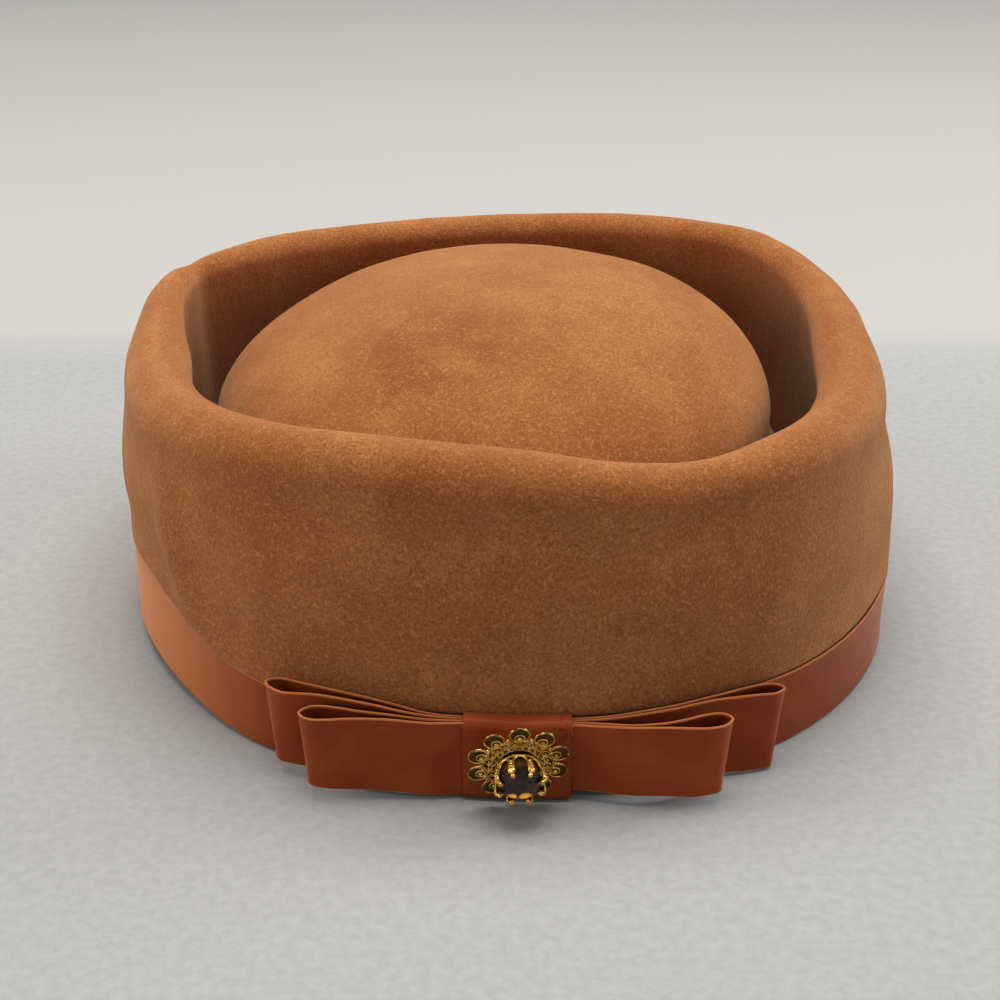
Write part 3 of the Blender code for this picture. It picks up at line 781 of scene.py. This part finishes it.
def cuff_section(bearing):
    """Radius and height along the cuff's visible side: outer foot, wall, roll, then down inside."""
    out = plan_radius(bearing)
    rim = RIM_HEIGHT * around("rim", bearing) - CORNER_DIP * corner(bearing)
    lean = ROLL_WIDTH * around("lean", bearing)
    half = ROLL_WIDTH * around("roll", bearing) / 2 * (1 - CORNER_PINCH * corner(bearing))
    drop = ROLL_DROP * around("roll", bearing)
    shoulder = rim - drop
    top = band_top(bearing)
    bulge = LIP_BULGE * (LIP_LEAST + bump_at(bearing, LIP_BEARING, LIP_SPREAD))
    inside = out - BAND_PRESS
    points = [(inside, 0.0)]
    points += [(inside, top - tuck) for tuck in LIP_TUCKS]
    for step in range(1, LIP_ROWS + 1):
        angle = math.pi / 2 * step / LIP_ROWS
        over = inside + (out + bulge - inside) * math.sin(angle)
        points.append((over, top + LIP_ROUND * (1 - math.cos(angle))))
    foot = top + LIP_ROUND
    for step in range(1, WALL_ROWS + 1):
        share = step / WALL_ROWS
        height = foot + share * (shoulder - foot)
        belly = WALL_BELLY * math.sin(math.pi * share) ** 2
        lip = bulge * (1 - smooth_step(share / LIP_RUN))
        wall = out - lean * smooth_step(share) + belly + lip + wall_form(bearing, height)
        points.append((wall, height))
    middle = out - lean - half
    for step in range(1, ROLL_ROWS + 1):
        angle = math.pi * step / ROLL_ROWS
        points.append((middle + half * math.cos(angle), shoulder + drop * math.sin(angle)))
    for step in range(1, LINING_ROWS + 1):
        share = LINING_REACH * step / LINING_ROWS
        height = shoulder * (1 - share)
        wall = out - lean * smooth_step(1 - share)
        hanging = wall - 2 * half * (1 - share) - FOLD * share
        along_crown = crown_reach(bearing, height) + CROWN_GAP
        loose = soft_max(hanging, along_crown, WELL_ROUND) - along_crown
        lining = along_crown + loose * min(height / SEAM_RISE, 1.0)
        points.append((min(lining, wall - FOLD), height))
    return points


def make_cuff(felt):
    rings = [[] for _ in cuff_section(0)]
    for bearing in bearings():
        for row, (radius, height) in enumerate(cuff_section(bearing)):
            point = place(bearing, radius, height)
            loose = smooth_step((height - BAND_TOP) / WALL_LUMPS_GROWTH)
            lump = loose * uneven(point, *WALL_LUMPS)
            raised = height + lump / 2 + lifted(bearing, height)
            rings[row].append(place(bearing, radius + lump, raised))
    data = ring_mesh("felt_cuff", rings)
    # the hollow value says how much painted shade each row of the cuff takes in the well
    start = len(rings) - LINING_ROWS - HOLLOW_EARLY
    shade = [smooth_step((row - start) / HOLLOW_ROWS) for row in range(len(rings))]
    mark_rows(data, "hollow", shade, AROUND)
    made = add_cloth("felt_cuff", data, felt, "cuff")
    thicken(made, FELT)


def make_crown(felt):
    heights = [CROWN_LIFT]
    heights += [TIP_FOOT * (i + 1) / CROWN_SIDE_ROWS for i in range(CROWN_SIDE_ROWS)]
    for i in range(1, CROWN_TIP_ROWS):
        rise = math.sin(math.pi / 2 * i / CROWN_TIP_ROWS) ** TIP_FLATNESS
        heights.append(TIP_FOOT + (CROWN_HEIGHT - TIP_FOOT) * rise)
    rings = []
    for height in heights:
        middle = crown_middle(height)
        loose = smooth_step((height - CROWN_LUMPS_FROM) / CROWN_LUMPS_GROWTH)
        ring = []
        for bearing in bearings():
            point = place(bearing, crown_radius(bearing, height), height) + middle
            lump = uneven(point, *CROWN_LUMPS)
            point.z += lifted(bearing, height)
            outward = direction(bearing) * CROWN_LUMPS_OUT + Vector((0.0, 0.0, CROWN_LUMPS_UP))
            ring.append(point + outward * lump * loose)
        rings.append(ring)
    top = crown_middle(CROWN_HEIGHT) + Vector((0.0, CENTRE_Y, CROWN_HEIGHT))
    top.z += uneven(top, CROWN_LUMPS[0]) * CROWN_LUMPS_UP
    data = ring_mesh("felt_crown", rings, cap_top=top)
    # the hollow value says how much painted shade each row of the crown takes low in the well
    shade = [smooth_step((HOLLOW_HEIGHT - height) / HOLLOW_FADE) for height in heights]
    mark_rows(data, "hollow", shade, AROUND)
    made = add_cloth("felt_crown", data, felt, "crown")
    thicken(made, FELT)


def ribbon_rows(low, high):
    """Height and share of the thickness up a ribbon's side, thicker along its woven edges."""
    edge, thick = WOVEN_EDGE[-1]
    rows = [(low + row.inward, row.thick) for row in WOVEN_EDGE]
    for i in range(1, RIBBON_ROWS + 1):
        rows.append((low + edge + (high - low - 2 * edge) * i / (RIBBON_ROWS + 1), thick))
    rows += [(high - row.inward, row.thick) for row in reversed(WOVEN_EDGE)]
    return rows


def mark_rows(data, name, values, count):
    """Keep a value for each row of vertices, count vertices to a row, for the materials to read."""
    layer = data.attributes.new(name, "FLOAT", "POINT")
    for row, value in enumerate(values):
        for i in range(row * count, (row + 1) * count):
            layer.data[i].value = value


def shares_across():
    """Place across the ribbon of each row, up one side and down the other."""
    up = [height for height, _ in ribbon_rows(0.0, BAND_WIDTH)]
    return [height / BAND_WIDTH for height in up + up[::-1]]


def make_band(satin):
    middle = BAND_PRESS - GAP - RIBBON / 2
    sides = []
    for side in (1, -1):
        rows = [[] for _ in ribbon_rows(0.0, BAND_WIDTH)]
        for bearing in bearings():
            low = BAND_LIFT + lifted(bearing, 0.0)
            slack = BAND_SLACK * bump_at(bearing, BAND_SLACK_BEARING, BAND_SLACK_SPREAD)
            wave = uneven(place(bearing, BAND_LUMPS_RADIUS, 0.0), BAND_LUMPS)
            for row, (height, thick) in zip(rows, ribbon_rows(low, band_top(bearing) + BAND_TUCK)):
                up = height / BAND_TOP
                radius = plan_radius(bearing) - middle + side * thick * RIBBON / 2
                row.append(place(bearing, radius + slack * up**3 + wave * up, height))
        sides.append(rows)
    data = ring_mesh("ribbon_band", sides[0] + sides[1][::-1], closed_rows=True)
    mark_rows(data, "across", shares_across(), AROUND)
    add_cloth("ribbon_band", data, satin, "hat_band")


def bearing_of(x):
    """Bearing at the front of the band where the plan is x to the side of the middle."""
    low, high = -80.0, 80.0
    for _ in range(40):
        middle = (low + high) / 2
        if plan_radius(middle) * math.sin(math.radians(middle)) < x:
            low = middle
        else:
            high = middle
    return (low + high) / 2


def off_band(x, out, height):
    """A point straight in front of the band's surface at x."""
    bearing = bearing_of(x)
    return place(bearing, plan_radius(bearing), height) - Vector((0.0, out + RIBBON / 2, 0.0))


def smooth_path(points, count):
    """Points evenly spread along a smooth closed curve through the given ones."""
    total = len(points)
    fine = []
    parts = 24
    for i in range(total):
        p0, p1, p2, p3 = (points[(i + k) % total] for k in (-1, 0, 1, 2))
        for part in range(parts):
            t = part / parts
            line = 2 * p1 + (p2 - p0) * t
            bend = (2 * p0 - 5 * p1 + 4 * p2 - p3) * t * t
            sway = (3 * p1 - p0 - 3 * p2 + p3) * t * t * t
            fine.append(0.5 * (line + bend + sway))
    lengths = [0.0]
    for a, b in zip(fine, fine[1:] + fine[:1]):
        lengths.append(lengths[-1] + (b - a).length)
    spread = []
    k = 0
    for i in range(count):
        target = lengths[-1] * i / count
        while lengths[k + 1] < target:
            k += 1
        share = (target - lengths[k]) / (lengths[k + 1] - lengths[k])
        spread.append(fine[k].lerp(fine[(k + 1) % len(fine)], share))
    return spread


def loop_path(left, right, reach_left, reach_right, layer, hang_left, hang_right, foot):
    """Closed path of one ribbon loop pair; layer is its place in the stack under the knot."""
    narrow = 1 - LOOP_NARROWING if foot else 1.0
    height = BOW_LIFT if foot else BOW_TOP
    inner = (layer + 0.5) * LOOP_STEP
    outer = inner + LOOP_STEP

    def point(side, reach, turn):
        out = turn.out * LOOP_DEPTH
        along = turn.along
        hang = hang_right if side > 0 else hang_left
        rise = hang.top_end * smooth_step((along - TOP_HANG_FROM) / TOP_HANG_OVER)
        if foot:
            near = inner if out < inner else outer
            out = near + (out - near) * LOOP_FOOT_SHARE
            away = (along - FOOT_HANG_FROM) / (1 - FOOT_HANG_FROM)
            rise = hang.foot_knot + (hang.foot_end - hang.foot_knot) * away
            if turn.out > FOLD_OUT and along > FOLD_ALONG:
                along = 1 - (1 - along) * FOLD_CREASE
        return off_band(side * along * reach * narrow, out, height + rise)

    def under_knot(side, out):
        share = (1 + side) / 2
        rise = hang_left.foot_knot * (1 - share) + hang_right.foot_knot * share if foot else 0.0
        return off_band(side * KNOT_HALF_WIDTH, out, height + rise)

    points = [under_knot(side, inner) for side in (-1, 0, 1)]
    points += [point(1, reach_right, turn) for turn in right]
    points += [under_knot(side, outer) for side in (1, 0, -1)]
    points += [point(-1, reach_left, turn) for turn in reversed(left)]
    return points


def ribbon_loop(name, paths, node, satin):
    """Ribbon on edge along a closed path, bowed a little across its width."""
    low, high = [smooth_path(path, 2 * LOOP_POINTS) for path in paths]
    count = len(low)
    sides = ([], [])
    for height, thick in ribbon_rows(BOW_LIFT, BOW_TOP):
        up = (height - BOW_LIFT) / BOW_WIDTH
        spread = [low[i].lerp(high[i], up) for i in range(count)]
        for point in spread:
            wave = uneven(point, LOOP_LUMPS) * math.sin(math.pi * up)
            away = (abs(point.x) - LOOSE_FROM) / LOOSE_OVER
            point.y += wave * smooth_step(away)
            point.z -= KNOT_SQUEEZE * up * (1 - smooth_step(away / SQUEEZE_OVER))
        rows = ([], [])
        for i, here in enumerate(spread):
            along = (spread[(i + 1) % count] - spread[i - 1]).normalized()
            across = Vector((along.y, -along.x, 0.0)) * (thick * RIBBON / 2)
            rows[0].append(here - across)
            rows[1].append(here + across)
        sides[0].append(rows[0])
        sides[1].append(rows[1])
    data = ring_mesh(name, sides[0] + sides[1][::-1], closed_rows=True)
    mesh = bmesh.new()
    mesh.from_mesh(data)
    bmesh.ops.recalc_face_normals(mesh, faces=mesh.faces)
    mesh.to_mesh(data)
    mesh.free()
    mark_rows(data, "across", shares_across(), count)
    add_cloth(name, data, satin, node)


def make_loops(satin):
    back = (BACK_LEFT, BACK_RIGHT, BACK_REACH_LEFT, BACK_REACH_RIGHT, 0, *BACK_HANG)
    front = (FRONT_LEFT, FRONT_RIGHT, FRONT_REACH_LEFT, FRONT_REACH_RIGHT, 2, *FRONT_HANG)
    for name, shape, node in (("ribbon_back", back, "bow_back"), ("ribbon_front", front, "bow_front")):
        paths = [loop_path(*shape, foot) for foot in (True, False)]
        ribbon_loop(name, paths, node, satin)


def knot_profile():
    """Places along the wrapped ribbon, as out from the band and height, from its foot to its top."""
    low = BOW_LIFT - GAP - RIBBON / 2 - KNOT_SQUEEZE
    high = BOW_TOP + GAP + RIBBON / 2 - KNOT_SQUEEZE
    out = KNOT_OUT - RIBBON / 2
    foot = KNOT_FOOT_ROUND
    top = KNOT_TOP_ROUND
    points = [(GAP, low), (out * 0.4, low)]
    for i in range(7):
        angle = math.pi / 2 * i / 6
        points.append((out - foot + foot * math.sin(angle), low + foot - foot * math.cos(angle)))
    for i in range(1, 24):
        points.append((out, low + foot + (high - low - foot - top) * i / 24))
    for i in range(9):
        angle = math.pi / 2 * i / 8
        points.append((out - top + top * math.cos(angle), high - top + top * math.sin(angle)))
    for i in range(1, 5):
        points.append(((out - top) * (1 - i / 4) + GAP * i / 4, high))
    return points


def pucker(x, height):
    """Small gathered folds at the knot's upper right, and a slack pull across its face."""
    across = x - KNOT_HALF_WIDTH * GATHER_ACROSS
    up = height - BOW_TOP * GATHER_UP
    reach = math.hypot(across, up)
    spokes = math.cos(GATHER_FOLDS * math.atan2(up, across) + GATHER_TURN)
    folds = GATHER_RISE * spokes * bell(reach, GATHER_REACH) * smooth_step(reach / GATHER_START)
    slack = SLACK_RISE * math.sin(x / SLACK_LENGTH + SLACK_TURN)
    return folds + slack * smooth_step((height - SLACK_FROM) / SLACK_GROWTH)


def make_knot(satin):
    mesh = bmesh.new()
    rows = []
    for i in range(KNOT_STATIONS + 1):
        x = KNOT_HALF_WIDTH * (2 * i / KNOT_STATIONS - 1)
        row = []
        for out, height in knot_profile():
            lift = pucker(x, height) * smooth_step(out / KNOT_OUT)
            row.append(mesh.verts.new(off_band(x, out - RIBBON / 2 + lift, height)))
        rows.append(row)
    for low, high in zip(rows, rows[1:]):
        for i in range(len(low) - 1):
            mesh.faces.new((low[i], high[i], high[i + 1], low[i + 1]))
    data = finish_mesh("ribbon_knot", mesh)
    mark_rows(data, "across", [0.5] * len(rows), len(rows[0]))
    made = add_cloth("ribbon_knot", data, satin, "bow_knot")
    thicken(made, RIBBON, offset=0.0)


def tube(mesh, path, radius, sides, closed=False, radius_at=None):
    """Round wire along a path, added as one closed body."""
    count = len(path)
    rows = []
    normal = None
    for i, here in enumerate(path):
        before = path[i - 1] if closed or i else here
        after = path[(i + 1) % count] if closed or i < count - 1 else here
        along = (after - before).normalized()
        if normal is None:
            other = Vector((0.0, 0.0, 1.0)) if abs(along.z) < 0.9 else Vector((1.0, 0.0, 0.0))
            normal = along.cross(other)
        normal = (normal - along * normal.dot(along)).normalized()
        across = along.cross(normal)
        thick = radius * (radius_at(i / count) if radius_at else 1.0)
        ring = []
        for k in range(sides):
            angle = ROUND * k / sides
            point = here + (normal * math.cos(angle) + across * math.sin(angle)) * thick
            ring.append(mesh.verts.new(point))
        rows.append(ring)
    pairs = list(zip(rows, rows[1:]))
    if closed:
        pairs.append((rows[-1], rows[0]))
    for low, high in pairs:
        for k in range(sides):
            j = (k + 1) % sides
            mesh.faces.new((low[k], high[k], high[j], low[j]))
    if not closed:
        mesh.faces.new(rows[0])
        mesh.faces.new(rows[-1][::-1])


def polar(radius, turn, rise):
    return Vector((radius * math.cos(turn), radius * math.sin(turn), rise))


def flat_ring(mesh, centre, radius, wire, steps, twist=0, start=0.0, sweep=ROUND):
    """Wire ring, or part of one, lying in the flower; twist gives it a roped look."""
    closed = sweep >= ROUND
    path = []
    for i in range(steps if closed else steps + 1):
        path.append(centre + polar(radius, start + sweep * i / steps, 0.0))
    roped = (lambda share: 1 + ROPE_DEPTH * math.sin(ROUND * twist * share)) if twist else None
    tube(mesh, path, wire, 7, closed=closed, radius_at=roped)


def grain(mesh, centre, radius):
    made = bmesh.ops.create_icosphere(mesh, subdivisions=2, radius=radius)
    bmesh.ops.translate(mesh, verts=made["verts"], vec=centre)


def turned(mesh, profile, sides, centre=Vector((0.0, 0.0, 0.0)), finish=0):
    """Closed turned body from (radius, rise) pairs, foot first; finish is the material's place."""
    rows = []
    for radius, rise in profile:
        ring = [centre + polar(radius, ROUND * i / sides, rise) for i in range(sides)]
        rows.append([mesh.verts.new(point) for point in ring])
    faces = [mesh.faces.new(rows[0][::-1]), mesh.faces.new(rows[-1])]
    for low, high in zip(rows, rows[1:]):
        for i in range(sides):
            j = (i + 1) % sides
            faces.append(mesh.faces.new((low[i], low[j], high[j], high[i])))
    for face in faces:
        face.material_index = finish


def add_curl(mesh, curl, turn, side=0):
    centre = polar(curl.out, turn + side * curl.turn, PLATE / 2 + curl.rise)
    start = turn + side * CURL_START if curl.sweep < ROUND else 0.0
    flat_ring(mesh, centre, curl.radius, curl.wire, curl.steps, start=start, sweep=curl.sweep)


def add_grain(mesh, made, turn, side=1):
    grain(mesh, polar(made.out, turn + side * made.turn, PLATE / 2 + made.rise), made.radius)


def petal(mesh, turn):
    """Roped ring over a disc in painted shade, a curl and a grain at its foot, and scrolls to both sides.
    """
    middle = polar(PETAL_RING + PETAL_OUT, turn, PLATE / 2)
    inside = PETAL_RADIUS - PETAL_WIRE
    flat_ring(mesh, middle, inside, PETAL_WIRE, 60, twist=PETAL_TWIST)
    # the disc inside the ring is a dark sheet of painted shade where the petal shows only shadow
    turned(mesh, [(inside, rise) for rise in BACKING], 28, middle, 1)
    add_curl(mesh, PETAL_CURL, turn)
    add_grain(mesh, PETAL_GRAIN, turn)
    add_grain(mesh, BETWEEN_GRAIN, turn)
    for side in (-1, 1):
        for curl in SIDE_CURLS:
            add_curl(mesh, curl, turn, side)
        for made in SIDE_GRAINS:
            add_grain(mesh, made, turn, side)


def filigree(mesh):
    """Petals over a thin plate, and the rings that tie them."""
    turned(mesh, FLOWER_PLATE, 64)
    for i in range(PETALS):
        petal(mesh, math.pi / 2 + ROUND * i / PETALS)
    for ring in TIE_RINGS:
        flat_ring(mesh, Vector((0.0, 0.0, PLATE / 2)), ring.radius, ring.wire, 120, twist=TIE_TWIST)


def flare(rise):
    """Radius of the setting's wall at a rise: from the cup's edge out to just clear of the stone."""
    share = (rise - CUP_HEIGHT) / (STONE_GIRDLE_RISE - CUP_HEIGHT)
    return CUP_TOP + (STONE_RADIUS + STONE_AIR - CUP_TOP) * smooth_step(share)


def window(mesh, middle):
    """Round-footed window of the setting: down one leg, round the foot and up the other leg."""
    path = []
    last = WINDOW_TURN_STEPS + WINDOW_LEG_STEPS
    for k in range(-last, last + 1):
        swing = math.pi / 2 * min(max(k / WINDOW_TURN_STEPS, -1.0), 1.0)
        up_leg = max(0, abs(k) - WINDOW_TURN_STEPS) * WINDOW_LEG_STEP
        rise = CUP_HEIGHT + WINDOW_ROUND * (1 - math.cos(swing)) + up_leg
        turn = middle + WINDOW_SHARE * math.pi / PRONGS * math.sin(swing)
        path.append(polar(flare(rise), turn, rise))
    tube(mesh, path, WINDOW_WIRE, 8)


def prong(mesh, turn):
    """Beads between two windows' legs, and the claw that holds the stone."""
    for rise in BEAD_RISES:
        grain(mesh, polar(flare(rise) + BEAD_OUT, turn, rise), BEAD_RADIUS)
    tip = STONE_GIRDLE_RISE + STONE_GIRDLE + CLAW_RISE
    out = flare(BEAD_RISES[-1])
    claw = [
        polar(out, turn, CLAW_FOOT),
        polar(out, turn, tip - 0.0002),
        polar(STONE_RADIUS - 0.0002, turn, tip + 0.0002),
        polar(STONE_RADIUS - 0.0009, turn, tip),
    ]
    tube(mesh, claw, CLAW_WIRE, 8)
    grain(mesh, claw[2], CLAW_TIP)


def setting(mesh):
    """Cup, windows, prongs and the ring under the windows."""
    turned(mesh, ((CUP_FOOT + 0.0006, 0.0002), (CUP_FOOT, PLATE), (CUP_TOP - 0.0002, CUP_HEIGHT)), 32)
    # the cup's lining takes the near-black metal of painted shade
    lining = ((CUP_TOP - 0.0004, CUP_HEIGHT), (CUP_TOP - 0.0002, 0.0034), (CUP_TOP, 0.0046))
    turned(mesh, lining, 32, finish=1)
    for i in range(PRONGS):
        window(mesh, ROUND * i / PRONGS)
        prong(mesh, math.pi * (2 * i + 1) / PRONGS)
    flat_ring(mesh, Vector((0.0, 0.0, CUP_HEIGHT - 0.0001)), CUP_TOP, 0.00030, 96, twist=60)


def on_knot(made):
    """Stand a piece modelled along +Z in front of the knot, its lowest petal just clear of it."""
    tilt = math.radians(BROOCH_TILT)
    turn = math.radians(BROOCH_TURN)
    back = math.hypot(math.sin(turn), math.cos(turn) * math.sin(tilt))
    stand = (PETAL_RING + PETAL_RADIUS) * back
    spot = place(0, plan_radius(0) + BROOCH_OUT + stand, BROOCH_HEIGHT)
    facing = Matrix.Rotation(turn, 4, "Z") @ Matrix.Rotation(math.pi / 2 + tilt, 4, "X")
    made.matrix_world = Matrix.Translation(spot) @ facing


def make_brooch(gilt, shaded_metal):
    mesh = bmesh.new()
    filigree(mesh)
    setting(mesh)
    data = finish_mesh("gilt_brooch", mesh, outward=True)
    made = new_object("gilt_brooch", data, gilt, shaded_metal)
    data.shade_smooth()
    on_knot(made)
    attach(made, "root")
    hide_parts("brooch")


def make_stone(glass):
    """Round cut: a table, stars, kites and girdle facets above, mains and halves below."""
    sides = STONE_SIDES
    step = ROUND / sides
    low = STONE_GIRDLE_RISE
    high = low + STONE_GIRDLE
    mesh = bmesh.new()

    def ring(radius, rise, count, start):
        return [mesh.verts.new(polar(radius, start + ROUND * i / count, rise)) for i in range(count)]

    table = ring(STONE_TABLE, high + STONE_CROWN, sides, 0.0)
    halfway = (STONE_TABLE + STONE_RADIUS) / 2
    stars = ring(halfway - STAR_INSET, high + STONE_CROWN * STAR_RISE, sides, step / 2)
    over = ring(STONE_RADIUS, high, 2 * sides, 0.0)
    under = ring(STONE_RADIUS, low, 2 * sides, 0.0)
    mains = ring(STONE_RADIUS * MAIN_RADIUS, low - STONE_PAVILION * MAIN_DROP, sides, step / 2)
    culet = mesh.verts.new(Vector((0.0, 0.0, low - STONE_PAVILION)))
    mesh.faces.new(table)
    for i in range(sides):
        j = (i + 1) % sides
        mesh.faces.new((table[i], stars[i], table[j]))
        mesh.faces.new((table[i], stars[i - 1], over[2 * i], stars[i]))
        mesh.faces.new((stars[i], over[2 * i], over[2 * i + 1]))
        mesh.faces.new((stars[i], over[2 * i + 1], over[(2 * i + 2) % (2 * sides)]))
        mesh.faces.new((mains[i], under[2 * i + 1], under[2 * i]))
        mesh.faces.new((mains[i], under[(2 * i + 2) % (2 * sides)], under[2 * i + 1]))
        mesh.faces.new((culet, mains[i], under[2 * i], mains[i - 1]))
    for i in range(2 * sides):
        j = (i + 1) % (2 * sides)
        mesh.faces.new((over[i], under[i], under[j], over[j]))
    data = finish_mesh("amber_stone", mesh, outward=True)
    made = new_object("amber_stone", data, glass)
    on_knot(made)
    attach(made, "root")
    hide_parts("stone")


def make_floor():
    mesh = bmesh.new()
    bmesh.ops.create_grid(mesh, x_segments=4, y_segments=4, size=FLOOR_HALF)
    made = new_object("floor", finish_mesh("floor", mesh), fleece_material())


def area_light(light):
    lamp = bpy.data.lights.new(light.name, "AREA")
    lamp.shape = "SQUARE"
    lamp.size = light.size
    lamp.energy = light.power
    lamp.color = light.colour
    made = new_object(light.name, lamp)
    made.location = light.spot
    made.rotation_euler = (Vector(LIGHT_AIM) - made.location).to_track_quat("-Z", "Y").to_euler()


def make_light():
    world = bpy.data.worlds.new("studio")
    world.use_nodes = True
    background = world.node_tree.nodes["Background"]
    background.inputs["Color"].default_value = WORLD_COLOUR
    background.inputs["Strength"].default_value = WORLD_STRENGTH
    bpy.context.scene.world = world
    for light in LIGHTS:
        area_light(light)


def make_camera():
    pitch = math.radians(CAMERA_PITCH)
    roll = math.radians(CAMERA_ROLL)
    spin = Matrix.Rotation(math.radians(-CAMERA_SPIN), 3, "Z")
    forward = spin @ Vector((0.0, math.cos(pitch), -math.sin(pitch)))
    level = spin @ Vector((1.0, 0.0, 0.0))
    rise = spin @ Vector((0.0, math.sin(pitch), math.cos(pitch)))
    right = level * math.cos(roll) - rise * math.sin(roll)
    up = level * math.sin(roll) + rise * math.cos(roll)
    away = Vector((0.0, -math.cos(pitch), math.sin(pitch))) * CAMERA_REACH
    data = bpy.data.cameras.new("camera")
    data.lens = CAMERA_LENS
    data.sensor_width = 36.0
    data.clip_start = 0.01
    made = new_object("camera", data)
    matrix = Matrix((right, up, -forward)).transposed().to_4x4()
    matrix.translation = spin @ (Vector(CAMERA_AIM) + away) + Vector((0.0, CENTRE_Y, 0.0))
    made.matrix_world = matrix
    bpy.context.scene.camera = made


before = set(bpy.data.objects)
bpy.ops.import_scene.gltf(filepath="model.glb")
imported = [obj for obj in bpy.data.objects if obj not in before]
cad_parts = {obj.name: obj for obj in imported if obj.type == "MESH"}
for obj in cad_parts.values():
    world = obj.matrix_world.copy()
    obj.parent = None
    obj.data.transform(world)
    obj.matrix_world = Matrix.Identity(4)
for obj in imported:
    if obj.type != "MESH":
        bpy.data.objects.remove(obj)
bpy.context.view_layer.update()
bpy.context.scene.view_settings.view_transform = "Standard"
make_camera()
make_light()
make_floor()
felt = felt_material()
make_cuff(felt)
make_crown(felt)
satin = satin_material()
make_band(satin)
make_loops(satin)
make_knot(satin)
make_brooch(gilt_material(), shade_metal_material())
make_stone(stone_material())
